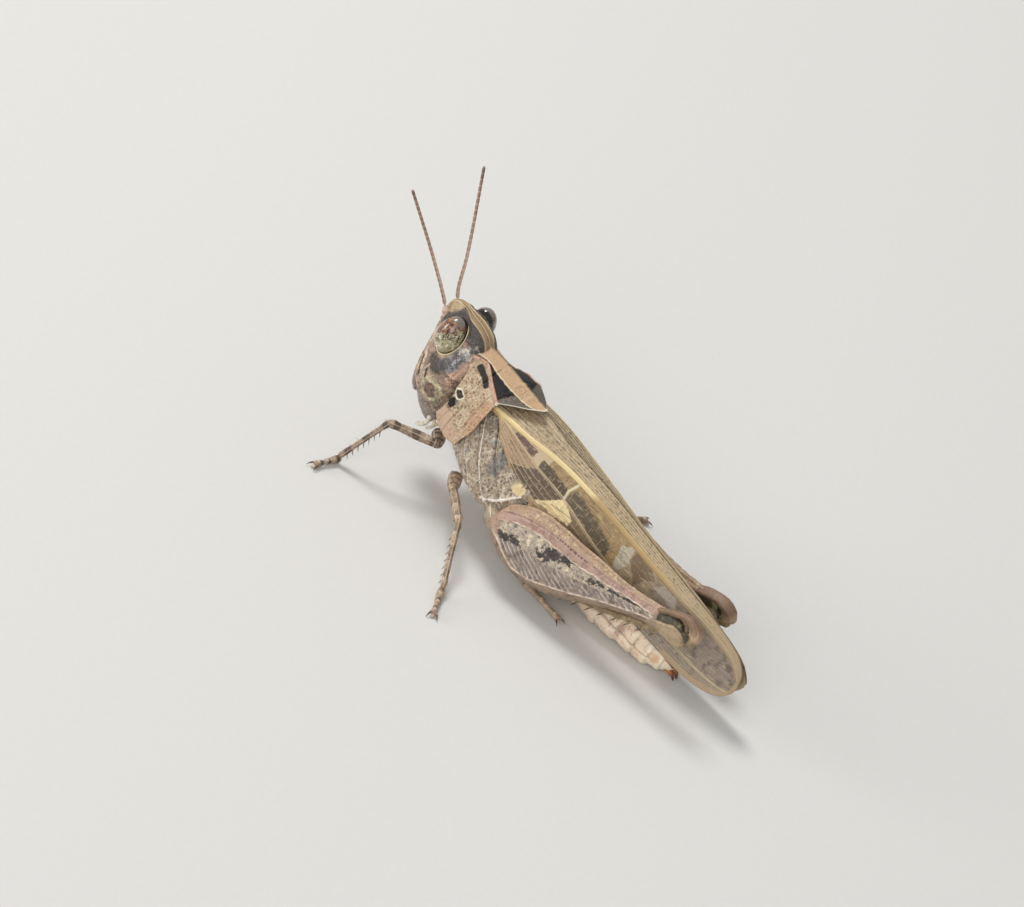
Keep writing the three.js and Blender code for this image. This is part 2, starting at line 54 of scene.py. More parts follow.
# The left eye: its middle, its half sizes, how it is turned, and how much smaller the lens is.
# The right lens is a mirror image, shifted a little into its socket.
EYE_MIDDLE = (1.22, -6.25, 7.06)
EYE_HALF = (0.78, 0.75, 1.14)
EYE_TURN = np.array(
    Matrix.Rotation(-0.12, 3, "Z") @ Matrix.Rotation(0.1, 3, "X") @ Matrix.Rotation(-0.12, 3, "Y"))
LENS_SHARE = 0.96
RIGHT_EYE_SHIFT = np.array([-0.2, 0.05, -0.16])


def from_trunk(points):
    """Turns points of the trunk's own frame head up and sets them above the floor."""
    x, y, z = np.moveaxis(np.asarray(points, float), -1, 0)
    c, s = math.cos(PITCH), math.sin(PITCH)
    return np.stack([x, y * c + z * s, z * c - y * s + LIFT], -1)


# The frame's eye says where the model was packed.
eye_low, eye_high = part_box("eye_left")
SHIFT = (np.array(eye_low) + np.array(eye_high)) / 2 / MM - from_trunk(EYE_MIDDLE)

# ---------------------------------------------------------------- curves and noise


def smooth(low, high, value):
    """Rises softly from 0 at low to 1 at high, or falls where low is the larger."""
    t = np.clip((value - low) / (high - low), 0, 1)
    return t * t * (3 - 2 * t)


def hump(distance, width):
    """A soft bump, 1 where the distance is 0."""
    return np.exp(-((distance / width) ** 2))


def lerp(a, b, t):
    return a + (b - a) * t


def least(*values):
    return functools.reduce(np.minimum, values)


def most(*values):
    return functools.reduce(np.maximum, values)


def through(rows):
    """Reads rows of [place, value, ...] at any places by a smooth curve through them."""
    rows = np.asarray(rows, float)
    place, values = rows[:, 0], rows[:, 1:]
    count = np.arange(len(rows))
    before, after = np.maximum(count - 1, 0), np.minimum(count + 1, len(rows) - 1)
    slope = (values[after] - values[before]) / (place[after] - place[before])[:, None]

    def read(at):
        at = np.clip(np.asarray(at, float), place[0], place[-1])
        row = np.clip(np.searchsorted(place, at, side="right") - 1, 0, len(rows) - 2)
        span = (place[row + 1] - place[row])[..., None]
        s = (at - place[row])[..., None] / span
        rise = s * s * (3 - 2 * s)
        bend = slope[row] * s * (1 - s) ** 2 * span + slope[row + 1] * s * s * (s - 1) * span
        return values[row] * (1 - rise) + values[row + 1] * rise + bend

    return read


def weights(places, at):
    """How much each control place counts at the given places of such a curve."""
    return through(np.column_stack([places, np.eye(len(places))]))(at)


def unit(vectors):
    vectors = np.asarray(vectors, float)
    return vectors / np.linalg.norm(vectors, axis=-1, keepdims=True)


def around(sides):
    return np.linspace(0, 2 * np.pi, sides, endpoint=False)


def rim(angle, squareness):
    """A squared-off oval's edge at an angle, for a half width and half height of 1."""
    across, upward = np.cos(angle), np.sin(angle)
    power = 2 / squareness
    return np.sign(across) * abs(across) ** power, np.sign(upward) * abs(upward) ** power


def run_length(points):
    """How far along a line through the points each of them lies."""
    return np.concatenate([[0], np.cumsum(np.linalg.norm(np.diff(points, axis=0), axis=1))])


def path_through(points, count):
    """A centripetal curve through a few points, at places an even distance apart."""
    points = np.asarray(points, float)
    whole = np.vstack([2 * points[0] - points[1], points, 2 * points[-1] - points[-2]])
    fine = []
    for i in range(1, len(whole) - 2):
        p = whole[i - 1:i + 3]
        knots = np.concatenate([[0], np.cumsum(np.linalg.norm(np.diff(p, axis=0), axis=1) ** 0.5)])
        t = np.linspace(knots[1], knots[2], 60, endpoint=False)[:, None]
        a = [lerp(p[k], p[k + 1], (t - knots[k]) / (knots[k + 1] - knots[k])) for k in range(3)]
        b = [lerp(a[k], a[k + 1], (t - knots[k]) / (knots[k + 2] - knots[k])) for k in range(2)]
        fine.append(lerp(b[0], b[1], (t - knots[1]) / (knots[2] - knots[1])))
    fine = np.vstack([*fine, points[-1:]])
    run = run_length(fine)
    at = np.linspace(0, run[-1], count)
    return np.stack([np.interp(at, run, fine[:, k]) for k in range(3)], -1)


TABLE = np.random.default_rng(11).random((4096, 4))


def hashed(cells, seed):
    """Four even random numbers for each cell of a grid."""
    key = cells[..., 0] * 73856093 ^ cells[..., 1] * 19349663 ^ cells[..., 2] * 83492791
    return TABLE[(key ^ (seed * 7919 + 13)) & 4095]


def cells_of(points, size):
    scaled = np.asarray(points, float) / size
    return scaled, np.floor(scaled).astype(np.int64)


def noise(points, size, seed=0):
    """Soft noise from -1 to 1, with cells of that size."""
    scaled, cell = cells_of(points, size)
    part = scaled - cell
    part = part * part * (3 - 2 * part)
    total = 0
    for corner in itertools.product((0, 1), repeat=3):
        share = np.prod(np.where(corner, part, 1 - part), axis=-1)
        total = total + share * hashed(cell + np.array(corner), seed)[..., 0]
    return total * 2 - 1


def fractal(points, size, seed=0, octaves=3):
    """Noise with finer and fainter noise on top."""
    return sum(noise(points, size / 2 ** k, seed + k) / 2 ** k for k in range(octaves))


def dots(points, size, seed=0):
    """Distance to the nearest of a scatter of dots, as a share of their spacing."""
    scaled, cell = cells_of(points, size)
    nearest = np.full(scaled.shape[:-1], 9.0)
    for corner in itertools.product((-1, 0, 1), repeat=3):
        other = cell + np.array(corner)
        spot = other + 0.15 + 0.7 * hashed(other, seed)[..., 1:4]
        nearest = np.minimum(nearest, np.linalg.norm(scaled - spot, axis=-1))
    return nearest


def from_line(points, *line):
    """Distance from a run of straight lines through the given points."""
    points = np.asarray(points, float)
    nearest = np.full(points.shape[:-1], 1e9)
    for a, b in zip(np.array(line[:-1], float), np.array(line[1:], float)):
        along = b - a
        t = np.clip(((points - a) @ along) / (along @ along), 0, 1)
        nearest = np.minimum(nearest, np.linalg.norm(points - a - t[..., None] * along, axis=-1))
    return nearest


def blob(points, middle, radii):
    """How deep inside an oval spot each point lies, below 0 outside it."""
    radii = np.asarray(radii, float)
    return (1 - np.linalg.norm((np.asarray(points) - middle) / radii, axis=-1)) * radii.min()


# ---------------------------------------------------------------- forms


class Form:
    """A closed mesh in the making: points, faces and named values at its points."""

    def __init__(self, points, quads, tris=(), **values):
        self.points = np.asarray(points, float).reshape(-1, 3)
        self.quads = np.asarray(quads, int).reshape(-1, 4)
        self.tris = np.asarray(tris, int).reshape(-1, 3)
        self.values = {key: np.asarray(value, float) for key, value in values.items()}
        a, b, c = (self.points[k] for k in self.corners())
        if np.einsum("ij,ij->i", a, np.cross(b, c)).sum() < 0:
            self.quads, self.tris = self.quads[:, ::-1], self.tris[:, ::-1]

    def corners(self):
        """The first, second and third corner of every triangle."""
        return np.vstack([self.quads[:, [0, 1, 2]], self.quads[:, [0, 2, 3]], self.tris]).T

    def normals(self):
        corners = self.corners()
        a, b, c = (self.points[k] for k in corners)
        face = np.cross(b - a, c - a)
        total = np.zeros_like(self.points)
        for axis in range(3):
            for corner in corners:
                total[:, axis] += np.bincount(corner, face[:, axis], len(total))
        return total / np.maximum(np.linalg.norm(total, axis=1), 1e-12)[:, None]

    def raised(self, amount):
        """Pushes each point out along its normal."""
        self.points = self.points + self.normals() * np.asarray(amount)[:, None]
        return self

    def moved(self, turn):
        self.points = turn(self.points)
        return self

    def on_side(self, side):
        """The form itself on the left, at 1, and its mirror image on the right, at -1."""
        if side > 0:
            return self
        return Form(self.points * [-1, 1, 1], self.quads, self.tris, **self.values)


def joined(*forms):
    """One form of several, with 0 for a value that a form lacks."""
    whole = Form.__new__(Form)
    starts = np.cumsum([0] + [len(form.points) for form in forms])
    whole.points = np.vstack([form.points for form in forms])
    whole.quads = np.vstack([form.quads + s for form, s in zip(forms, starts)])
    whole.tris = np.vstack([form.tris + s for form, s in zip(forms, starts)])
    keys = sorted({key for form in forms for key in form.values})
    whole.values = {key: np.concatenate([
        form.values.get(key, np.zeros(len(form.points))) for form in forms]) for key in keys}
    return whole


def tube(grid, dome=0.35, **values):
    """A closed skin over rings of points, with a low dome over each end."""
    dome_rows = np.radians([30, 55, 75])
    ends = []
    for ring, inner in ((grid[0], grid[1]), (grid[-1], grid[-2])):
        middle = ring.mean(0)
        outward = unit(middle - inner.mean(0))
        outward = outward * np.linalg.norm(ring - middle, axis=1).mean() * dome
        rows = [middle + (ring - middle) * math.cos(a) + outward * math.sin(a) for a in dome_rows]
        ends.append((rows, middle + outward))
    extra = len(dome_rows)
    shape = grid.shape[:2]
    grid = np.concatenate([ends[0][0][::-1], grid, ends[1][0]])
    rings, sides = grid.shape[:2]
    points = np.vstack([grid.reshape(-1, 3), ends[0][1], ends[1][1]])
    index = np.arange(rings * sides).reshape(rings, sides)
    beside = np.roll(index, -1, axis=1)
    quads = np.stack([index[:-1], beside[:-1], beside[1:], index[1:]], -1)
    low, high = np.full(sides, rings * sides), np.full(sides, rings * sides + 1)
    fans = [np.stack([beside[0], index[0], low], -1), np.stack([index[-1], beside[-1], high], -1)]
    spread = {}
    for key, value in values.items():
        value = np.broadcast_to(value, shape + np.shape(value)[2:])
        value = np.concatenate([value[:1]] * extra + [value] + [value[-1:]] * extra)
        flat = value.reshape(rings * sides, *value.shape[2:])
        spread[key] = np.concatenate([flat, value[:1].mean(1), value[-1:].mean(1)])
    return Form(points, quads, np.vstack(fans), **spread)


def plate(outer, inner, **values):
    """A thin closed shell between two sheets of points that share their layout."""
    shape = outer.shape[:2]
    count = shape[0] * shape[1]
    front = np.arange(count).reshape(shape)
    back = front + count

    def faces(index):
        corners = [index[:-1, :-1], index[:-1, 1:], index[1:, 1:], index[1:, :-1]]
        return np.stack(corners, -1).reshape(-1, 4)

    border = np.concatenate([front[0, :-1], front[:-1, -1], front[-1, :0:-1], front[:0:-1, 0]])
    following = np.roll(border, -1)
    wall = np.stack([following, border, border + count, following + count], -1)
    quads = np.vstack([faces(front), faces(back)[:, ::-1], wall])
    points = np.vstack([outer.reshape(-1, 3), inner.reshape(-1, 3)])
    for key, value in values.items():
        values[key] = np.tile(np.broadcast_to(value, shape).ravel(), 2)
    return Form(points, quads, **values)


def limb(start, end, rows, top=(0, 0, 1), rings=60, sides=36):
    """Rings of a limb from one point to another, with how far along and round each lies.

    Its rows are [share of the length, half height, half width], or with the half height
    above the middle and the one below it as two numbers.
    """
    start, along = np.array(start, float), np.subtract(end, start)
    direction = unit(along)
    side = unit(np.cross(direction, top))
    up = np.cross(side, direction)
    t = np.linspace(0, 1, rings)[:, None]
    angle = around(sides)
    size = through(rows)(t[:, 0])
    across, upward = rim(angle, 2.2)
    high = upward * np.where(upward > 0, size[:, :1], size[:, -2:-1])
    wide = across * size[:, -1:]
    grid = start + t[..., None] * along + wide[..., None] * side + high[..., None] * up
    return grid, np.broadcast_to(t, high.shape), np.broadcast_to(angle, high.shape)


def ring_round(path, direction, near, angle, size):
    """Round rings across a path, squared up to a direction that it never takes."""
    side = unit(np.cross(direction, near))
    up = np.cross(side, direction)
    ring = np.cos(angle)[:, None] * side[..., None, :] + np.sin(angle)[:, None] * up[..., None, :]
    return path[:, None] + ring * size[:, None, None]


def rod(points, radius, rings=40, sides=16):
    """Rings round a smooth curve; radius is read at 0 to 1 along it."""
    path = path_through(points, rings)
    t = np.linspace(0, 1, rings)
    angle = around(sides)
    direction = unit(np.gradient(path, axis=0))
    grid = ring_round(path, direction, (0, 0.3, 1), angle, radius(t).ravel())
    return grid, np.broadcast_to(t[:, None], (rings, sides)), angle


def spike(root, tip, radius, bend=(0, 0, 0), sides=6, **values):
    """A thin pointed spine, claw or hair."""
    root, tip = np.array(root, float), np.array(tip, float)
    t = np.linspace(0, 1, 6 if any(bend) else 3)
    path = root + t[:, None] * (tip - root) + (t * (1 - t) * 4)[:, None] * np.array(bend, float)
    size = radius * (1 - 0.88 * t ** 1.3)
    grid = ring_round(path, unit(tip - root), (0.3, 0.5, 1), around(sides), size)
    return tube(grid, dome=0.6, tip=t[:, None], **values)


def piece(name, form, finish, slot, *nodes):
    """Puts a form in the scene as a piece that rides on the body and stands for CAD nodes."""
    mesh = bpy.data.meshes.new(name)
    mesh.vertices.add(len(form.points))
    mesh.vertices.foreach_set("co", ((form.points + SHIFT) * MM).astype(np.float32).ravel())
    corners = np.concatenate([form.quads.ravel(), form.tris.ravel()]).astype(np.int32)
    middle = len(form.quads) * 4
    starts = np.concatenate([np.arange(0, middle, 4), np.arange(middle, len(corners), 3)])
    mesh.loops.add(len(corners))
    mesh.loops.foreach_set("vertex_index", corners)
    mesh.polygons.add(len(starts))
    mesh.polygons.foreach_set("loop_start", starts.astype(np.int32))
    mesh.polygons.foreach_set("use_smooth", np.ones(len(starts), bool))
    for key, value in form.values.items():
        kind, field = ("FLOAT_VECTOR", "vector") if value.ndim > 1 else ("FLOAT", "value")
        spread = mesh.attributes.new(key, kind, "POINT")
        spread.data.foreach_set(field, value.astype(np.float32).ravel())
    mesh.update(calc_edges=True)
    mesh.validate()
    mesh.materials.append(finish)
    thing = bpy.data.objects.new(name, mesh)
    bpy.context.scene.collection.objects.link(thing)
    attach(thing, "root")
    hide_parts(*nodes)


# ---------------------------------------------------------------- paint


def rgb(text):
    """A colour written as on a screen, in the shader's own linear numbers."""
    parts = [int(text[i:i + 2], 16) / 255 for i in (1, 3, 5)]
    return tuple(p / 12.92 if p < 0.04045 else ((p + 0.055) / 1.055) ** 2.4 for p in parts) + (1,)


def add_node(tree, kind, inputs=None, **settings):
    """A node with its settings, and a socket linked or a value set on each input named."""
    made = tree.nodes.new(kind)
    for key, value in settings.items():
        setattr(made, key, value)
    for key, value in (inputs or {}).items():
        if isinstance(value, bpy.types.NodeSocket):
            tree.links.new(value, made.inputs[key])
        else:
            made.inputs[key].default_value = value
    return made


class Paint:
    """A material built one coat at a time over a base colour."""

    def __init__(self, name, colour, roughness=0.5, **sockets):
        self.material = bpy.data.materials.new(name)
        self.material.use_nodes = True
        self.tree = self.material.node_tree
        self.shader = self.tree.nodes["Principled BSDF"]
        for key, value in {"Roughness": roughness, **sockets}.items():
            self.shader.inputs[key.replace("_", " ")].default_value = value
        self.colour = rgb(colour)
        spot = self.node("ShaderNodeTexCoord").outputs["Object"]
        self.place = self.vector("SCALE", {"Vector": spot, "Scale": 1 / MM})

    def node(self, kind, inputs=None, **settings):
        return add_node(self.tree, kind, inputs, **settings)

    def math(self, operation, a, b=0.0):
        return self.node("ShaderNodeMath", {0: a, 1: b}, operation=operation).outputs[0]

    def vector(self, operation, inputs):
        return self.node("ShaderNodeVectorMath", inputs, operation=operation).outputs[0]

    def times(self, *masks):
        return functools.reduce(lambda a, b: self.math("MULTIPLY", a, b), masks)

    def value(self, name, output="Fac"):
        return self.node("ShaderNodeAttribute", attribute_name=name).outputs[output]

    def noise(self, size, detail=3, seed=0, stretch=None):
        """Noise about 0, from roughly -0.5 to 0.5, with features of that size in mm."""
        place = self.place
        if stretch:
            place = self.node("ShaderNodeMapping", {"Vector": place, "Scale": stretch}).outputs[0]
        inputs = {"Vector": place, "Scale": 1 / size, "Detail": detail, "Roughness": 0.6}
        made = self.node("ShaderNodeTexNoise", {**inputs, "W": seed * 3.7}, noise_dimensions="4D")
        return self.math("SUBTRACT", made.outputs[0], 0.5)

    def cells(self, size, feature="F1", at=None):
        inputs = {"Vector": at or self.place, "Scale": 1 / size}
        return self.node("ShaderNodeTexVoronoi", inputs, feature=feature).outputs["Distance"]

    def step(self, value, low, high):
        """Rises softly from 0 to 1 as a value goes from low to high."""
        inputs = {"Value": value, "From Min": low, "From Max": high}
        return self.node("ShaderNodeMapRange", inputs, interpolation_type="SMOOTHSTEP").outputs[0]

    def level(self, name, low, high):
        """The same rise on a value that the mesh carries."""
        return self.step(self.value(name), low, high)

    def cloud(self, size, seed, low, high, detail=3, stretch=None):
        """The same rise on noise, which leaves soft-edged clouds of that size."""
        return self.step(self.noise(size, detail, seed, stretch), low, high)

    def mark(self, name, soft, wobble, size, seed):
        """1 inside the mark that a value draws, with an edge ragged by noise of that size."""
        ragged = self.times(self.noise(size, 3, seed), wobble)
        return self.step(self.math("ADD", self.value(name), ragged), -soft, soft)

    def between(self, name, middle, half):
        """1 where a value lies within half of a middle."""
        off = self.math("ABSOLUTE", self.math("SUBTRACT", self.value(name), middle))
        return self.step(off, half, half * 0.5)

    def coat(self, colour, strength, *masks):
        """Lays a colour over those before it, where all the masks let it show."""
        inputs = {0: self.times(*masks, strength), 6: self.colour, 7: rgb(colour)}
        self.colour = self.node("ShaderNodeMix", inputs, data_type="RGBA").outputs[2]

    def mottle(self, dark, light, size, amount, seed):
        """Soft clouds of a darker and a lighter tone."""
        cloud = self.noise(size, 4, seed)
        self.coat(dark, amount, self.step(cloud, 0.02, 0.2))
        self.coat(light, amount, self.step(cloud, -0.02, -0.2))

    def speckle(self, colour, size, share, amount, *patch):
        """Small spots scattered over the surface."""
        self.coat(colour, amount, self.step(self.cells(size), share + 0.08, share - 0.08), *patch)

    def net(self, colour, size, width, amount, *patch):
        """A broken network of fine uneven lines."""
        inputs = {"Vector": self.place, "Scale": 1 / size, "Detail": 2.0}
        bent = self.node("ShaderNodeTexNoise", inputs).outputs["Color"]
        away = self.vector("SCALE", {0: bent, "Scale": size * 0.9})
        at = self.vector("ADD", {0: self.place, 1: away})
        lines = self.step(self.cells(size, "DISTANCE_TO_EDGE", at), width, width * 0.3)
        self.coat(colour, amount, lines, self.cloud(size * 1.5, 77, -0.12, 0.12, 2), *patch)

    def finish(self, bump=None, depth=0.02, roughness=None):
        """The material, with its relief in mm."""
        links = {"Base Color": self.colour}
        if roughness is not None:
            links["Roughness"] = roughness
        if bump is not None:
            made = self.node("ShaderNodeBump", {"Height": bump, "Distance": depth * MM})
            links["Normal"] = made.outputs[0]
        for key, socket in links.items():
            self.tree.links.new(socket, self.shader.inputs[key])
        return self.material


# ---------------------------------------------------------------- head

# Rows of [height, front edge, rear edge, half width], as upright reads them.
HEAD = [
    [2.45, -6.5, -4.35, 0.85],
    [3.1, -7.0, -4.2, 1.18],
    [4.0, -7.17, -4.05, 1.52],
    [5.0, -7.3, -3.95, 1.6],
    [6.0, -7.46, -3.95, 1.5],
    [6.8, -7.65, -4.1, 1.28],
    [7.4, -7.7, -4.4, 1.0],
    [7.85, -7.64, -4.8, 0.7],
    [8.08, -7.4, -5.4, 0.38],
    [8.13, -7.1, -5.9, 0.12],
]
JAWS = [
    [1.6, -5.6, -4.55, 0.4],
    [1.9, -6.0, -4.4, 0.62],
    [2.39, -6.42, -4.3, 0.8],
    [3.0, -6.6, -4.4, 0.9],
]


def upright(rows, rings, sides, power=1.0):
    """Rings of an upright form, set closer together toward its top where power is over 1."""
    t = 1 - (1 - np.linspace(0, 1, rings)) ** power
    z = lerp(rows[0][0], rows[-1][0], t)
    angle = around(sides)
    front, rear, wide = through(rows)(z).T
    middle = lerp(rear, front, 0.42)
    fore, aft = rim(angle, 1.9), rim(angle, 2.8)
    ahead = np.sin(angle) > 0
    across, forward = np.where(ahead, fore, aft)
    depth = np.where(ahead, (middle - front)[:, None], (rear - middle)[:, None])
    x = across * wide[:, None]
    y = middle[:, None] - forward * depth
    return np.stack([x, y, np.broadcast_to(z[:, None], x.shape)], -1)


def eye_space(points):
    """Points of the trunk's left half, in the left eye's own unit ball."""
    p = np.array(points, float)
    p[..., 0] = abs(p[..., 0])
    return (p - EYE_MIDDLE) @ EYE_TURN / EYE_HALF


def head():
    form = tube(upright(HEAD, rings=250, sides=300, power=1.35), dome=0.12)
    p, n = form.points, form.normals()
    x, y, z = p.T
    aside = abs(x)
    left, profile = np.stack([aside, y, z], -1), p[:, 1:]
    front = smooth(0.2, 0.6, -n[:, 1]) * smooth(2.7, 3.0, z)
    side = smooth(0.35, 0.75, abs(n[:, 0]))
    crown = smooth(0.25, 0.6, n[:, 2]) * smooth(6.9, 7.3, z)
    on_top = z > 6.9

    # The face: a broad ridge down the middle, a keel beside it, and the middle eye's bead.
    ridge_half = lerp(0.34, 0.2, smooth(3, 7, z))
    ridge = smooth(ridge_half + 0.1, ridge_half - 0.03, aside) * front * smooth(8.0, 7.4, z)
    keel = hump(aside - lerp(0.98, 0.5, smooth(3, 6.6, z)), 0.07) * front * smooth(6.8, 6.2, z)
    bead = np.linalg.norm(p - [0, -7.45, 6.1], axis=1)
    lift = 0.085 * ridge - 0.06 * hump(x, 0.11) * front * smooth(6.9, 6.5, z)
    lift += 0.07 * keel + 0.05 * hump(bead, 0.09)

    # The rim round each eye, the rays below it, and the cup that the antenna grows from.
    ball = eye_space(p)
    orbit = np.linalg.norm(ball, axis=1)
    turn = np.arctan2(ball[:, 2], ball[:, 1])
    lift += 0.07 * hump(orbit - 1.06, 0.05) - 0.04 * hump(orbit - 1.16, 0.05)
    rays = np.sin(turn * 26 + 1.5 * noise(p, 0.4, 12))
    rays = rays * smooth(1.12, 1.2, orbit) * smooth(1.75, 1.45, orbit)
    rays = rays * smooth(-0.3, -1.0, turn) * smooth(-3.0, -2.3, turn) * (side > 0.2)
    lift += 0.012 * rays
    cup = np.linalg.norm(left - [0.5, -7.5, 7.05], axis=1)
    lift += 0.06 * hump(cup - 0.27, 0.05) - 0.1 * hump(cup, 0.18)

    # The cheek: the furrow below the eye, the gutter over the jaw, knobs and pits.
    furrow = hump(from_line(profile, (-6.3, 5.75), (-6.15, 4.5), (-5.75, 2.6)), 0.06)
    gutter = hump(from_line(profile, (-7.2, 3.5), (-6.2, 3.35), (-5.0, 3.0)), 0.05)
    lift -= 0.06 * furrow * side + 0.045 * gutter
    lift += 0.025 * smooth(0.42, 0.15, dots(p, 0.2, 6)) * smooth(6.4, 5.6, z) * side
    lift -= 0.03 * smooth(0.42, 0.2, dots(p, 0.17, 4)) * side * smooth(6.2, 5.2, z)

    # The crown: two rails and a middle line, swung a little off the middle toward the nape.
    middle = 0.09 * smooth(-6.9, -6.2, y)
    band_half = lerp(0.2, 0.37, smooth(-6.9, -5.9, y))
    rail = abs(x - middle)
    rails = hump(rail - band_half, 0.05) + 0.8 * hump(rail, 0.035)
    lift += 0.05 * rails * crown * smooth(-4.5, -5.0, y) * smooth(-7.2, -6.8, y)
    lift += 0.05 * hump(aside - 0.48, 0.05) * smooth(-6.6, -6.9, y) * crown
    lift += 0.02 * fractal(p, 0.5, 3) * (1 - crown) + 0.006 * fractal(p, 0.12, 5)
    form.raised(lift)

    ring = np.linalg.norm((left - [1.42, -5.25, 3.85]) * [0.4, 1, 0.85], axis=1)
    line, spot = functools.partial(from_line, left), functools.partial(blob, left)
    form.values = {
        "costa": np.where(front > 0.15, ridge_half + 0.12 - aside, -9),
        "keel": keel,
        "orbit": orbit - 1,
        "turn": np.sin(turn + 2.35),
        "rays": rays,
        "band": np.where(on_top & (y < -4.3), band_half - rail, -1),
        "rail": np.where(on_top, rail, 1),
        "top": np.where(on_top, 1.05 - aside, -1) * (n[:, 2] > 0.1),
        "fore": spot((0.3, -7.25, 7.8), (0.34, 0.42, 0.5)),
        "dab": 0.07 - line((0.45, -6.98, 7.8), (0.47, -6.9, 7.82)),
        "chalk": 0.035 - line((0.3, -7.3, 7.84), (0.27, -7.05, 7.95)),
        "frons": 0.46 - line(
            (0.62, -7.25, 5.9), (0.75, -7.03, 5.2), (0.93, -6.84, 4.7), (1.02, -6.69, 4.25)),
        "front": spot((1.2, -6.15, 3.5), (1.2, 0.75, 1.2)),
        "wedge": most(
            0.13 - line((0.98, -6.8, 4.55), (1.1, -6.4, 3.7)),
            0.12 - line((1.42, -6.1, 4.6), (1.44, -5.95, 4.2))),
        "pale": 0.065 - line(
            (1.45, -6.1, 4.95), (1.25, -6.28, 4.06), (1.1, -6.26, 3.4)),
        "striped": spot((1.5, -5.8, 5.3), (0.6, 0.6, 0.5)),
        # The glossy patch below the eye, and a streak over it that carries a painted highlight.
        "gloss": 0.4 - line((1.2, -5.1, 6.8), (1.42, -5.05, 6.2), (1.53, -5.35, 5.75)),
        "sheen": 0.1 - line((1.44, -5.12, 6.1), (1.2, -4.95, 6.8), (0.86, -4.9, 7.4)),
        "ring": 0.15 - abs(ring - 0.56),
        "within": 0.52 - ring,
        "net": spot((1.0, -5.0, 7.1), (0.6, 0.6, 0.5)),
        "cream": 0.08 - line((1.2, -4.7, 3.3), (1.37, -4.49, 4.49), (1.24, -4.26, 4.9)),
        "rust": spot((1.48, -4.7, 5.3), (0.6, 0.45, 0.5)),
        "muzzle": 2.75 - z,
    }
    return form.moved(from_trunk)


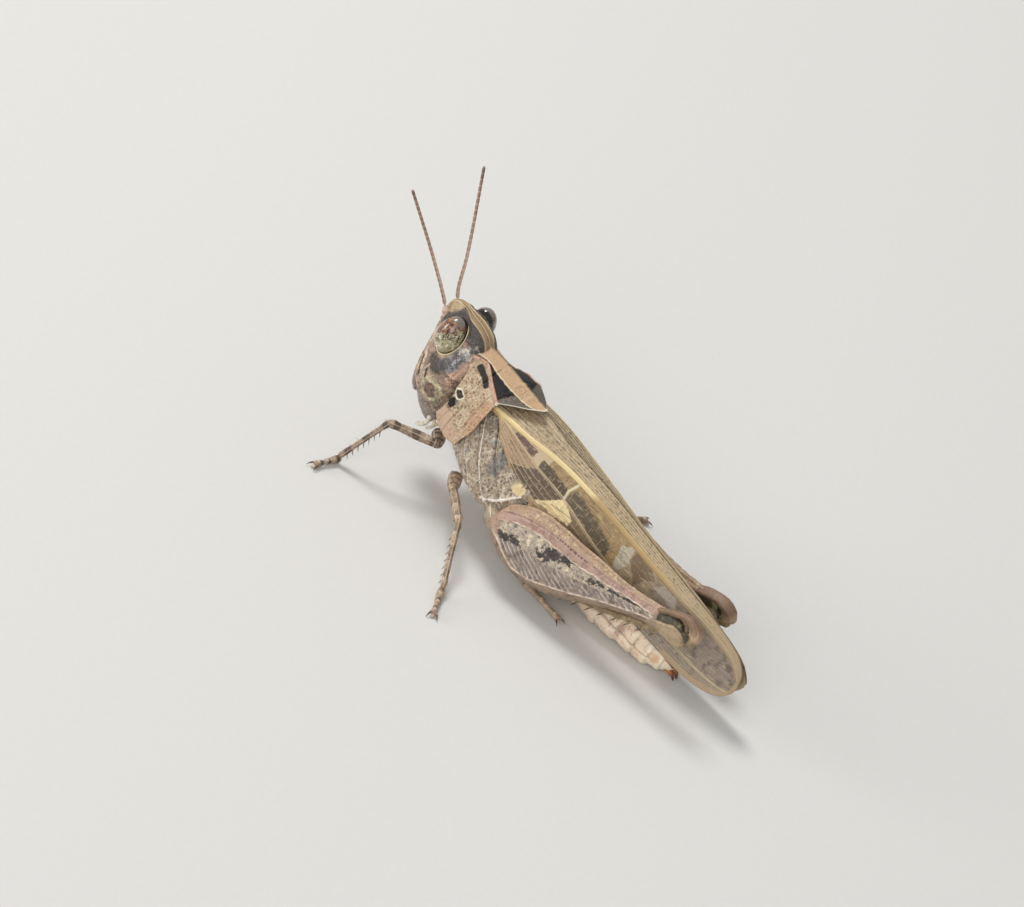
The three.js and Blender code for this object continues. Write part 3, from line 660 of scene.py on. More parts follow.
def head_paint():
    p = Paint("head_shell", "#b99b86", 0.42, Specular_IOR_Level=0.5)
    p.mottle("#856a5d", "#dec5ac", 0.26, 0.85, 1)
    p.coat("#c18574", 0.6, p.cloud(0.4, 21, 0.03, 0.16))
    p.coat("#7b7a76", 0.45, p.cloud(0.35, 22, 0.1, 0.2))
    p.net("#e3cda8", 0.22, 0.13, 0.85)
    p.speckle("#3d302b", 0.14, 0.26, 0.75)
    rust = p.mark("rust", 0.12, 0.8, 0.3, 23)
    p.coat("#b8705f", 0.45, rust)
    p.net("#ecd8bd", 0.2, 0.13, 0.7, rust)
    striped = p.mark("striped", 0.12, 0.4, 0.3, 24)
    p.coat("#453a39", 0.85, striped)
    p.coat("#a08a80", 0.7, p.level("rays", 0.1, 0.7), striped)
    front = p.mark("front", 0.15, 0.5, 0.4, 50)
    p.coat("#dcbea2", 0.75, front)
    p.coat("#8f6a5a", 0.65, p.cloud(0.14, 51, 0.05, 0.13), front)
    # A dark glossy patch below the eye; the grey clouds on it and the pale streak over it are
    # painted highlights.
    gloss = p.mark("gloss", 0.14, 0.7, 0.35, 3)
    p.coat("#45454a", 0.88, gloss)
    p.coat("#a3a7ab", 0.65, p.cloud(0.25, 25, -0.04, 0.14, 4), gloss)
    p.coat("#d3d7db", 0.75, p.mark("sheen", 0.08, 0.3, 0.2, 52), p.cloud(0.09, 53, -0.06, 0.1))
    p.coat("#c3a792", 0.5, p.cloud(0.3, 26, 0.1, 0.2, 4), gloss)
    p.coat("#8d6a55", 0.85, p.mark("within", 0.1, 0.4, 0.25, 27))
    p.coat("#5b4539", 0.9, p.cloud(0.16, 28, 0.02, 0.12), p.mark("within", 0.08, 0.3, 0.25, 27))
    p.coat("#e9dab0", 0.9, p.mark("ring", 0.05, 0.36, 0.2, 4))
    p.coat("#d6cba5", 0.8, p.mark("cream", 0.03, 0.15, 0.2, 29))
    muzzle = p.mark("muzzle", 0.15, 0.4, 0.3, 8)
    p.coat("#b3aa9d", 0.75, muzzle)
    p.coat("#3f3a3a", 0.6, muzzle, p.cloud(0.3, 30, 0.04, 0.15))
    p.coat("#cfae8e", 0.9, p.mark("costa", 0.03, 0.1, 0.2, 5))
    frons = p.mark("frons", 0.08, 0.25, 0.3, 31)
    p.coat("#efcfb1", 0.95, frons)
    p.coat("#b58f76", 0.5, p.cloud(0.2, 54, 0.05, 0.16, 4), frons)
    p.coat("#d3b99c", 0.7, p.level("keel", 0.4, 0.8))
    p.coat("#241c1a", 0.93, p.mark("wedge", 0.03, 0.15, 0.2, 6))
    p.coat("#dfcbb0", 0.92, p.mark("pale", 0.02, 0.06, 0.15, 32))
    top = p.mark("top", 0.08, 0.3, 0.3, 33)
    p.coat("#29292c", 0.9, top)
    p.coat("#77726d", 0.45, p.step(p.cells(0.13), 0.3, 0.15), top)
    p.net("#d9ccbb", 0.3, 0.15, 0.95, p.mark("net", 0.06, 0.3, 0.2, 34))
    p.coat("#b29c78", 0.85, p.mark("fore", 0.05, 0.25, 0.2, 10))
    p.coat("#75624c", 0.7, p.cloud(0.14, 35, 0.0, 0.12, 4), p.mark("fore", 0.05, 0.25, 0.25, 10))
    p.coat("#e6d9c4", 0.9, p.mark("chalk", 0.01, 0.02, 0.1, 36))
    p.coat("#e2b9a2", 0.9, p.mark("dab", 0.02, 0.04, 0.1, 37))
    band = p.mark("band", 0.02, 0.05, 0.15, 7)
    p.coat("#9c8461", 0.97, band)
    p.coat("#7e6445", 0.75, p.cloud(0.2, 38, 0.02, 0.16, 4, stretch=(2.5, 0.6, 1)), band)
    p.coat("#cdb58a", 0.75, p.between("band", 0.035, 0.05), band)
    p.coat("#cfb98f", 0.75, p.between("rail", 0.0, 0.035), band)
    p.coat("#5f4833", 0.8, p.between("rail", 0.065, 0.022), band)
    # Painted shade: a black line round the lens, in the seam where it meets the head.
    p.coat("#120d0b", 0.95, p.level("orbit", 0.03, 0.01))
    rim_line = p.between("orbit", 0.06, 0.04)
    p.coat("#4d3f33", 0.9, rim_line)
    p.coat("#e3d2a4", 0.95, rim_line, p.level("turn", -0.35, 0.15))
    shine = p.math("SUBTRACT", 0.5, p.times(gloss, 0.3))
    return p.finish(p.noise(0.06, 4, 2), 0.025, shine)


def eye(side):
    """The lens: a faceted ball a little smaller than the eye in the solids."""
    latitude = np.linspace(-np.pi / 2, np.pi / 2, 80)[1:-1, None]
    angle = around(120)
    high = np.broadcast_to(np.sin(latitude), (len(latitude), len(angle)))
    ball = np.stack([np.cos(latitude) * np.cos(angle), np.cos(latitude) * np.sin(angle), high], -1)
    grid = (ball * EYE_HALF * LENS_SHARE) @ EYE_TURN.T + EYE_MIDDLE
    form = tube(grid, dome=0.1, ball=ball)
    form.raised(0.004 * (0.5 - dots(form.points, 0.05, 8)))
    form = form.on_side(side)
    form.points = form.points + (RIGHT_EYE_SHIFT if side < 0 else 0)
    return form.moved(from_trunk)


def eye_paint():
    p = Paint("eye_lens", "#a39a7a", 0.12, Coat_Weight=0.6, Coat_Roughness=0.05)
    split = p.node("ShaderNodeSeparateXYZ", {"Vector": p.value("ball", "Vector")})
    out, rear, high = split.outputs
    lean = p.math("ADD", p.times(high, 0.85), p.times(rear, -0.4))
    ragged = p.math("ADD", lean, p.times(p.noise(0.4, 3, 2), 1.2))
    # Cream clouds of the lens's own pale colour; the warm colour stops short of the middle, so
    # there they also make a painted reflection.
    p.coat("#e6ddbf", 0.8, p.cloud(0.22, 7, 0.03, 0.12, 2))
    p.coat("#5d5d4c", 0.75, p.cloud(0.2, 8, 0.06, 0.14))
    warm = p.step(ragged, 0.04, 0.3)
    p.coat("#7d4e35", 0.9, warm)
    p.coat("#b98455", 0.8, p.cloud(0.2, 9, 0.05, 0.16, 2), warm)
    worm = p.step(p.math("ABSOLUTE", p.noise(0.27, 2, 12)), 0.05, 0.02)
    p.coat("#24160f", 0.9, worm, p.step(lean, -0.55, -0.1))
    blotch = p.step(p.cells(0.2), 0.36, 0.24)
    p.coat("#1f130d", 0.9, blotch, p.cloud(0.5, 11, -0.12, 0.08, 2))
    # The top of the lens turns grey: partly its own grey tip, partly a painted glare.
    top = p.math("ADD", high, p.times(p.noise(0.2, 2, 10), 0.5))
    p.coat("#7c776f", 0.7, p.step(top, 0.72, 0.9))
    # Painted shade: the lens turns black at its edge, where it sinks into the head.
    p.coat("#0d0907", 0.96, p.step(out, -0.04, -0.2))
    return p.finish(p.cells(0.045), 0.004)


# Rows of [height, front edge, rear edge, half width] of the upper lip's shelf.
LIP = [[2.45, -6.55, -6.1, 0.72], [2.8, -6.82, -6.2, 0.84], [3.15, -7.02, -6.3, 0.8]]
# The two pairs of palps, each as the left one's curve and its radius.
PALPS = [
    (((0.45, -4.75, 2.1), (0.66, -4.6, 1.6), (0.6, -4.85, 1.15), (0.52, -5.05, 1.0)), 0.13),
    (((0.2, -4.65, 2.0), (0.26, -4.35, 1.45), (0.22, -4.55, 1.02)), 0.11),
]


def mouth():
    jaws = tube(upright(JAWS, rings=60, sides=100), dome=0.5)
    x, y, z = jaws.points.T
    ahead = smooth(-5.6, -6.1, y)
    lip = smooth(0.06, 0.0, abs(z - 2.42 + 0.25 * x * x)) * ahead
    split = hump(x, 0.06) * smooth(1.75, 1.6, z)
    jaws.raised(-0.06 * lip - 0.05 * hump(abs(x) - 0.5, 0.06) * ahead - 0.08 * split)
    jaws.values = {"pale": smooth(2.3, 1.7, z) * ahead}
    jaws.raised(0.008 * fractal(jaws.points, 0.15, 9))
    forms = [jaws, tube(upright(LIP, rings=24, sides=60), dome=0.3)]
    for side in (1, -1):
        for points, size in PALPS:
            def radius(t):
                waist = hump((t * 4) % 1, 0.13) * (t < 0.98)
                return size * (1 - 0.2 * t - 0.3 * waist)

            grid, t, _ = rod(np.array(points) * [side, 1, 1], radius, rings=44, sides=14)
            forms.append(tube(grid, dome=0.9, pale=0.75 + 0.25 * t))
    return joined(*forms).moved(from_trunk)


def mouth_paint():
    p = Paint("mouthparts_shell", "#83776f", 0.45)
    p.mottle("#3f3836", "#b3a596", 0.25, 0.8, 2)
    p.coat("#e6dbc4", 0.85, p.step(p.math("ADD", p.value("pale"), p.noise(0.2, 3, 3)), 0.4, 0.7))
    return p.finish(p.noise(0.05, 4, 4), 0.015)


# Each antenna's bend and tip, as posed in the photo.
ANTENNA = {
    1: [(0.95, -9.6, 9.2), (2.0, -12.3, 11.85)],
    -1: [(-0.85, -8.9, 9.55), (-2.0, -11.5, 13.2)],
}
ANTENNA_JOINTS = 24


def antenna(side):
    def radius(t):
        waist = hump((t * ANTENNA_JOINTS + 0.5) % 1 - 0.5, 0.11)
        base = 0.1 + 0.1 * smooth(0.075, 0.03, t) - 0.02 * t - 0.05 * hump(t - 0.078, 0.008)
        return base * (1 - 0.14 * waist * (t > 0.08))

    points = [(side * 0.5, -7.35, 7.1), (side * 0.58, -8.0, 7.75), *ANTENNA[side]]
    grid, t, angle = rod(points, radius, rings=360, sides=18)
    joint = (t * ANTENNA_JOINTS) % 1
    form = tube(grid, dome=0.9, joint=joint, along=t, flank=abs(np.sin(angle)))
    form.raised(0.003 * noise(form.points, 0.05, 3))
    return form.moved(from_trunk)


def antenna_paint():
    p = Paint("antenna_shell", "#8f6f5e", 0.5)
    p.mottle("#5f4437", "#b39580", 0.4, 0.6, 3)
    p.coat("#cdb59d", 0.75, p.level("flank", 0.35, 0.8), p.level("along", 0.75, 0.3))
    off = p.math("ABSOLUTE", p.math("SUBTRACT", p.value("joint"), 0.5))
    p.coat("#d8c3ad", 0.8, p.step(off, 0.38, 0.46))
    foot_joint = p.level("along", 0.085, 0.07)
    p.coat("#cdb0a0", 0.9, foot_joint)
    p.coat("#7d6156", 0.7, p.cloud(0.15, 6, 0.04, 0.14), foot_joint)
    p.coat("#3a2a24", 0.5, p.level("along", 0.85, 1.0))
    return p.finish(p.noise(0.04, 3, 5), 0.01)


# ---------------------------------------------------------------- pronotum

# Rows of [y, crest, keel out and up, side out, lower edge out and up].
PRONOTUM = [
    [-4.72, 7.5, 1.0, 7.12, 1.62, 1.5, 4.3],
    [-4.3, 7.58, 0.93, 7.25, 1.72, 1.62, 3.5],
    [-3.85, 7.64, 0.79, 7.34, 1.8, 1.73, 3.2],
    [-3.5, 7.66, 0.9, 7.28, 1.86, 1.8, 3.05],
    [-2.9, 7.66, 1.22, 7.12, 1.95, 1.92, 3.0],
    [-2.2, 7.66, 1.56, 6.98, 2.05, 2.0, 3.15],
    [-1.5, 7.67, 1.88, 6.87, 2.12, 2.02, 3.6],
    [0.15, 7.68, 1.95, 6.8, 2.12, 2.0, 4.0],
]


# Parts of a half section: the side keel, and the lower edge where the shell stops.
KEEL_PART = 0.3
EDGE_PART = 0.84


def saddle_points(y, part):
    """Half sections of the pronotum, from the crest at part 0 to the lower edge."""
    crest, keel_x, keel_z, side_x, low_x, low_z = np.moveaxis(through(PRONOTUM)(y), -1, 0)
    zero = np.zeros_like(crest)
    xs = [zero, keel_x * 0.55, keel_x, (keel_x + side_x) / 2, side_x, low_x, zero]
    zs = [crest, lerp(crest, keel_z, 0.45), keel_z, keel_z - 0.45, lerp(keel_z, low_z, 0.55),
          low_z, low_z]
    share = weights([0, 0.15, KEEL_PART, 0.38, 0.6, EDGE_PART, 1], part)
    return (sum(value * share[..., k] for k, value in enumerate(v)) for v in (xs, zs))


def pronotum():
    # The front and hind edges are where the shell's columns start and end.
    run = np.linspace(-1, 1, 315)
    part = abs(run) * (EDGE_PART - 0.005)
    front_section, hind_section = -4.3, -1.2
    _, front_z = saddle_points(np.full(len(run), front_section), part)
    hind_x, _ = saddle_points(np.full(len(run), hind_section), part)
    ahead = np.interp(
        front_z, [3.0, 3.7, 4.4, 5.3, 6.5, 7.3, 9], [-3.75, -4.1, -3.9, -3.9, -4.2, -4.62, -4.67])
    behind = np.interp(
        hind_x, [0, 0.12, 0.7, 1.3, 1.85, 2.2], [-0.03, -0.07, -0.55, -1.2, -1.72, -1.8])
    behind = behind - 0.3 * smooth(0.6, 0.835, part)
    s = np.linspace(0, 1, 155)[:, None]
    y = lerp(ahead, behind, s)
    parts = np.broadcast_to(part, y.shape)
    x, z = saddle_points(y, parts)
    steep = smooth(-2.6, -3.6, y) * smooth(0, 0.3, parts) * smooth(0.84, 0.4, parts)
    z = z - 0.3 * steep * (run < 0)
    outer = np.stack([x * np.sign(run), y, z], -1)
    inward = np.stack([-np.sign(run) * smooth(0.0, 0.4, x), 0 * x, -smooth(2.2, 0.2, x)], -1)
    hind = (1 - s) * 4.2
    edge = least(s * 4.2, hind, (1 - abs(run)) * 5.0)
    thick = 0.05 + 0.09 * smooth(0, 0.35, edge)
    form = plate(outer, outer + inward * thick[..., None], part=parts, edge=edge, hind=hind)
    p = form.points
    x, y, z = p.T
    aside, profile = abs(x), p[:, 1:]
    part, edge, hind = (form.values[key] for key in ("part", "edge", "hind"))
    side = part > 0.36
    disc = smooth(0.34, 0.3, part)

    # Three grooves across, the crest and side keels, the rolled hind rim.
    cuts = hump(y + 3.14, 0.045) * smooth(0.3, 0.5, aside)
    cuts += hump(y + 2.35, 0.05) * smooth(0.86, 0.6, part) * (1 - disc)
    cuts += hump(y + 3.5 - 0.1 * (z - 5), 0.045) * smooth(0.33, 0.42, part)
    lift = 0.1 * hump(x, 0.06) * (1 - 0.8 * hump(y + 3.14, 0.06)) - 0.06 * cuts
    lift += 0.1 * hump(part - KEEL_PART, 0.015) * (1 + 0.35 * noise(p, 0.25, 27))
    lift -= 0.07 * hump(part - 0.34, 0.02)
    lift += 0.02 * hump(hind - 0.05, 0.04) * smooth(0.01, 0.04, hind)
    # The disc is wrinkled behind the last groove; the side is pitted, knobbed and swollen.
    deep = smooth(0.2, 0.5, edge) * smooth(-2.3, -1.9, y) * disc
    lift += deep * (0.03 * fractal(p, 0.2, 21, 2) - 0.03 * smooth(0.4, 0.2, dots(p, 0.15, 23)))
    pits = smooth(0.42, 0.15, dots(p, 0.2, 22)) * smooth(0.1, 0.3, edge) * smooth(0.32, 0.4, part)
    bumps = smooth(0.45, 0.1, dots(p, 0.26, 28)) * smooth(0.4, 0.5, part)
    swell = np.maximum(blob(profile, (-3.75, 5.2), (0.5, 1.0)), 0)
    lift += 0.03 * bumps - 0.06 * pits * smooth(3.6, 4.4, z)
    lift += 0.1 * swell * smooth(0.4, 0.5, part)
    lift += 0.045 * fractal(p, 0.6, 24, 2) * smooth(0.38, 0.5, part)
    form.raised(np.where(np.arange(len(p)) < run.size * s.size, lift, 0))

    band = np.interp(y, [-4.8, -3.8, -2.9, -1.8, -0.9, 0], [0.82, 0.68, 0.78, 0.82, 0.7, 0.35])
    below = part - KEEL_PART
    on_disc = below < 0
    form.values = {
        "part": part,
        "keel": 1 - abs(below) / 0.022,
        "hind": hind + 3 * smooth(0.34, 0.4, part),
        # The tan band lies on the left half of the disc only; the right half is left dark as
        # painted shade.
        "band": np.where(part < 0.4, np.minimum(x + 0.03, band - x), -1),
        "black": np.where(
            on_disc, least(-below * 9, y + 4.05, -1.75 - y + 0.35 * (1.2 - aside)), -1),
        "grey": np.where(on_disc, y + 1.9, -1),
        "wedge": np.where(
            below > 0, 0.13 - from_line(profile, (-3.95, 7.1), (-3.4, 7.02), (-2.95, 6.86)), -1),
        "oval": np.where(side, blob(profile, (-3.72, 4.8), (0.2, 0.3)), -1),
        "hole": np.where(side, np.hypot(y + 3.7, z - 5.42) + 0.1 * noise(p, 0.25, 29), 1),
        "halo": np.where(side, blob(profile, (-3.7, 4.95), (0.36, 0.6)), -1),
        "low": 4.3 - z - 0.5 * (y + 3.5),
        "ochre": np.where(side, blob(profile, (-1.95, 5.6), (0.5, 1.6)), -1),
        "right": -x,
        "crest": 0.045 - aside,
        "pits": pits,
        "lit": bumps,
    }
    return form.moved(from_trunk)


def pronotum_paint():
    p = Paint("pronotum_shell", "#b29b80", 0.5, Specular_IOR_Level=0.3)
    p.mottle("#86705a", "#d6c2a4", 0.4, 0.85, 11)
    side = p.level("part", 0.3, 0.34)
    p.coat("#9a9078", 0.45, p.cloud(0.6, 41, 0.0, 0.16), side)
    p.coat("#a76d58", 0.5, p.cloud(0.5, 12, 0.06, 0.18), side)
    p.net("#e6d3b6", 0.22, 0.12, 0.6, side)
    # Painted shade in the side's pits, and painted highlights on its bumps.
    p.coat("#5f463b", 0.7, p.level("pits", 0.45, 0.9), side)
    p.speckle("#3d2f2a", 0.14, 0.22, 0.6, side)
    p.coat("#e0cbb0", 0.55, p.level("lit", 0.5, 0.95), side)
    low = p.times(p.mark("low", 0.25, 0.6, 0.5, 14), side)
    p.coat("#c8ab90", 0.8, low)
    p.coat("#a87a68", 0.6, p.cloud(0.25, 42, 0.03, 0.15, 4), low)
    p.coat("#b98562", 0.45, p.mark("ochre", 0.4, 1.2, 0.5, 43))
    halo = p.mark("halo", 0.05, 0.35, 0.2, 15)
    p.coat("#6a584d", 0.7, halo)
    p.net("#e2d6bb", 0.22, 0.11, 0.95, halo)
    p.coat("#241c1a", 0.9, p.level("hole", 0.2, 0.15))
    p.coat("#ece3d0", 0.9, p.step(p.between("hole", 0.24, 0.055), 0.2, 0.7))
    p.coat("#120e0d", 0.97, p.mark("oval", 0.02, 0.12, 0.15, 44))
    disc = p.level("part", 0.3, 0.27)
    p.coat("#4e443d", 0.9, disc)
    p.coat("#8a7a68", 0.6, p.cloud(0.16, 17, 0.02, 0.14, 4), disc)
    # Painted shade: the right half of the disc is darkened, as the side turned from the light.
    p.coat("#252020", 0.75, p.level("right", 0.02, 0.1), disc)
    grey = p.times(p.mark("grey", 0.2, 0.6, 0.3, 45), disc)
    p.coat("#6f675c", 0.6, grey)
    p.coat("#2c2522", 0.8, p.step(p.cells(0.14), 0.34, 0.2), grey)
    p.coat("#0a0809", 0.98, p.mark("black", 0.04, 0.25, 0.2, 18))
    # Painted shadow: black just below the front half of the side keel.
    p.coat("#0d0b0b", 0.96, p.mark("wedge", 0.03, 0.1, 0.2, 19))
    band = p.mark("band", 0.02, 0.14, 0.18, 20)
    p.coat("#bf9f7c", 0.97, band)
    p.coat("#957760", 0.6, p.cloud(0.16, 46, 0.04, 0.16, 4, stretch=(2, 0.7, 1)), band)
    p.coat("#e6d3ad", 0.7, p.level("band", 0.1, 0.03), band)
    keel = p.level("keel", 0.1, 0.5)
    p.coat("#cba18b", 0.93, keel)
    p.coat("#93614f", 0.7, keel, p.cloud(0.14, 47, 0.03, 0.12))
    p.coat("#5d4331", 0.7, p.level("crest", 0.0, 0.02))
    p.coat("#efe4cf", 0.9, p.level("hind", 0.07, 0.04))
    return p.finish(p.noise(0.06, 4, 13), 0.03)


# ---------------------------------------------------------------- thorax and abdomen

# Rows of [y, half width, top, bottom], as body_length reads them.
THORAX = [
    [-4.35, 0.95, 4.6, 2.7],
    [-3.9, 1.2, 4.8, 2.5],
    [-3.3, 1.36, 5.3, 2.4],
    [-2.6, 1.62, 6.1, 2.15],
    [-1.8, 1.95, 6.2, 1.85],
    [-0.8, 2.3, 6.25, 1.6],
    [0.4, 2.5, 6.25, 1.5],
    [1.6, 2.48, 6.2, 1.6],
    [2.4, 2.3, 6.1, 1.75],
    [2.8, 2.1, 6.05, 1.85],
]
ABDOMEN = [
    [2.4, 1.75, 5.9, 1.8],
    [2.86, 1.85, 5.9, 1.75],
    [4.5, 1.7, 5.8, 1.66],
    [7.0, 1.58, 5.6, 1.62],
    [9.2, 1.5, 5.3, 1.68],
    [11.0, 1.35, 4.9, 2.04],
    [12.4, 1.1, 4.4, 2.34],
    [13.5, 0.6, 3.85, 2.8],
    [13.7, 0.4, 3.7, 3.0],
]


def body_length(rows, rings, sides):
    """Rings round a length of the body."""
    y = np.linspace(rows[0][0], rows[-1][0], rings)
    angle = around(sides)
    wide, top, bottom = through(rows)(y).T
    middle = lerp(bottom, top, 0.4)
    above = np.sin(angle) > 0
    across, upward = np.where(above, rim(angle, 1.8), rim(angle, 2.5))
    rise = np.where(above, (top - middle)[:, None], (middle - bottom)[:, None])
    x = across * wide[:, None]
    return np.stack([x, np.broadcast_to(y[:, None], x.shape), middle[:, None] + upward * rise], -1)


def thorax():
    form = tube(body_length(THORAX, rings=220, sides=280), dome=0.2)
    p = form.points
    x, y, z = p.T
    aside, profile = abs(x), p[:, 1:]
    flank = smooth(0.5, 1.2, aside) * smooth(1.7, 2.3, z)
    # The side plates lean forward as they rise, with seams and ridges between them.
    lean = y + 1.29 * (z - 4)
    bow = lean + 0.12 * np.sin((z - 2.4) * 1.6)
    ridge = hump(bow + 0.24, 0.075) + 0.8 * hump(bow + 1.75, 0.08) * smooth(5.2, 4.6, z)
    ridge = ridge + 0.6 * hump(bow - 1.45, 0.08)
    lower = from_line(profile, (0.9, 2.75), (1.6, 3.3), (2.45, 4.4))
    swell = hump(lean + 1.2, 0.45) + hump(lean - 0.35, 0.5)
    pit = smooth(0.45, 0.12, dots(p, 0.2, 32))
    knob = smooth(0.45, 0.1, dots(p, 0.27, 36))
    seams = (-2.2, -0.62, 1.05)
    relief = 0.13 * ridge - sum(0.1 * hump(lean - seam, 0.06) for seam in seams)
    relief += 0.09 * hump(lower, 0.09) + 0.05 * swell + 0.08 * fractal(p, 0.7, 31, 2)
    relief += 0.04 * knob - 0.08 * pit
    # The breast plates meet in lines across and one along the middle.
    across = hump(y + 2.35, 0.05) + hump(y - 0.15 - 0.15 * aside, 0.06) + hump(y - 1.95, 0.05)
    lift = relief * flank - 0.07 * across * smooth(2.3, 1.9, z)
    lift -= 0.03 * hump(x, 0.05) * smooth(2.2, 1.8, z)
    form.raised(lift + 0.012 * fractal(p, 0.16, 33, 2))
    form.values = {
        "ridge": (ridge + hump(lower, 0.11)) * flank,
        "pit": pit * flank,
        "knob": knob * flank,
        "under": 2.4 - z,
        "seam": sum(hump(lean - seam, 0.07) for seam in seams) * flank,
        "corner": blob(profile, (2.1, 4.62), (0.36, 0.3)),
        "gleam": blob(profile, (0.4, 4.9), (0.4, 0.9)),
    }
    return form.moved(from_trunk)


def thorax_paint():
    p = Paint("thorax_shell", "#a89882", 0.4)
    p.mottle("#6b5d50", "#d6c8b0", 0.35, 0.85, 31)
    p.coat("#6f7680", 0.6, p.cloud(0.5, 35, 0.06, 0.18))
    p.coat("#8d6555", 0.5, p.cloud(0.5, 37, 0.04, 0.18))
    p.speckle("#3c312b", 0.19, 0.28, 0.7)
    p.net("#e2d7c1", 0.34, 0.1, 0.45)
    # Painted shade in the pits and painted highlights on the knobs, in scattered patches.
    p.coat("#4a3b38", 0.85, p.level("pit", 0.4, 0.85), p.cloud(0.7, 40, -0.1, 0.05, 2))
    p.coat("#e4dac6", 0.45, p.level("knob", 0.6, 0.95), p.cloud(0.6, 38, -0.05, 0.1, 2))
    p.coat("#7b6756", 0.55, p.cloud(0.28, 43, 0.04, 0.15, 4))
    p.coat("#42505f", 0.5, p.mark("gleam", 0.1, 0.5, 0.3, 39))
    p.coat("#3a302b", 0.7, p.level("seam", 0.5, 0.95))
    p.coat("#b6a48c", 0.7, p.mark("under", 0.2, 0.5, 0.4, 32))
    p.coat("#efe6d8", 0.9, p.level("ridge", 0.5, 0.85))
    p.coat("#e5cf9f", 0.9, p.mark("corner", 0.05, 0.2, 0.2, 33))
    return p.finish(p.noise(0.07, 4, 34), 0.03)


def abdomen():
    form = tube(body_length(ABDOMEN, rings=360, sides=170), dome=0.5)
    p = form.points
    x, y, z = p.T
    _, top, bottom = through(ABDOMEN)(y).T
    share = (z - bottom) / (top - bottom)
    # The rings' hind edges, and how far along its own ring each point lies.
    edges = np.array([2.0, 2.55, 3.9, 5.25, 6.6, 7.95, 9.3, 10.6, 11.75, 12.7, 13.4, 14.4])
    ring = np.searchsorted(edges[1:-1], y + 0.12 * (share - 0.5))
    within = np.clip((y - edges[ring]) / np.diff(edges)[ring], 0, 1)
    lift = 0.12 * within ** 1.5 - 0.1 * hump(within - 1, 0.05) - 0.05 * hump(within, 0.06)
    fold = hump(share - 0.36, 0.035) * smooth(0.5, 1.0, abs(x))
    lift += 0.03 * hump(share - 1, 0.02) - 0.16 * fold * smooth(13.2, 12.5, y)
    creases = np.sin((y + 1.6 * share) * 9 + 3 * noise(p, 0.7, 47)) * smooth(0.75, 0.5, share)
    lift += 0.02 * creases + 0.015 * fractal(p, 0.2, 41, 2) + 0.035 * fractal(p, 0.6, 42, 2)
    lift -= 0.02 * smooth(0.35, 0.15, dots(p, 0.17, 43)) * smooth(0.4, 0.5, share)
    form.raised(lift)
    left = np.stack([abs(x), y, z], -1)
    form.values = {
        "share": share,
        "within": within,
        "fold": fold,
        "blotch": blob(left, (1.3, 10.8, 3.3), (1.5, 0.2, 0.42)),
        "amber": blob(left, (0.85, 12.95, 3.3), (1.2, 0.3, 0.24)),
        "tail": y - 12.4,
    }
    return form.moved(from_trunk)


def abdomen_paint():
    p = Paint("abdomen_shell", "#e6cfb4", 0.45, Subsurface_Weight=0.05)
    p.shader.inputs["Subsurface Radius"].default_value = (0.0004, 0.0002, 0.0001)
    p.mottle("#c8a28b", "#f2e3cd", 0.35, 0.85, 41)
    slant = p.noise(0.45, 4, 46, stretch=(1, 1.6, 0.6))
    p.coat("#a37f6c", 0.75, p.step(slant, 0.06, 0.15))
    p.coat("#f3e6d0", 0.8, p.step(slant, -0.08, -0.18))
    p.net("#f0dfc6", 0.22, 0.1, 0.6)
    p.coat("#5f463b", 0.8, p.cloud(0.2, 48, 0.08, 0.17, 4), p.cloud(0.9, 49, -0.05, 0.1, 2))
    back = p.level("share", 0.6, 0.75)
    p.coat("#8a7261", 0.6, p.cloud(0.5, 42, -0.02, 0.15), back)
    p.coat("#f0e2cd", 0.75, p.level("within", 0.88, 0.96))
    p.coat("#8c6352", 0.6, p.mark("blotch", 0.1, 0.5, 0.25, 43))
    p.coat("#f1e4cd", 0.75, p.mark("tail", 0.15, 0.3, 0.3, 44))
    p.coat("#cf9a62", 0.65, p.mark("amber", 0.15, 0.7, 0.25, 50))
    p.coat("#6d5546", 0.5, p.level("fold", 0.5, 0.9))
    return p.finish(p.noise(0.06, 4, 45), 0.025)


def tail():
    """The egg-laying valves, hooked at their tips."""
    forms = []
    for side in (1, -1):
        for z, droop, hook in ((3.5, 0.16, 0.14), (3.02, -0.14, -0.12)):
            points = [(side * 0.17, 13.1, z), (side * 0.2, 13.8, z),
                      (side * 0.17, 14.1, z + droop * 0.4), (side * 0.14, 14.26, z + droop + hook)]
            grid, t, _ = rod(points, lambda t: 0.22 * (1 - t ** 2 * 0.86))
            forms.append(tube(grid, dome=0.6, along=t))
    return joined(*forms).moved(from_trunk)


def tail_paint():
    p = Paint("valve_shell", "#b3713c", 0.3)
    p.mottle("#7a4422", "#dca066", 0.2, 0.7, 51)
    p.coat("#2c1c14", 0.9, p.level("along", 0.55, 0.95))
    return p.finish(p.noise(0.05, 3, 52), 0.012)


def cercus(side):
    points = [(side * 0.42, 13.1, 3.72), (side * 0.62, 13.75, 3.75), (side * 0.68, 14.02, 3.72)]
    grid, t, _ = rod(points, lambda t: 0.2 * (1 - 0.82 * t ** 1.3), rings=36, sides=18)
    form = tube(grid, dome=0.7, along=t)
    form.raised(0.006 * fractal(form.points, 0.12, 55))
    return form.moved(from_trunk)


# ---------------------------------------------------------------- wings

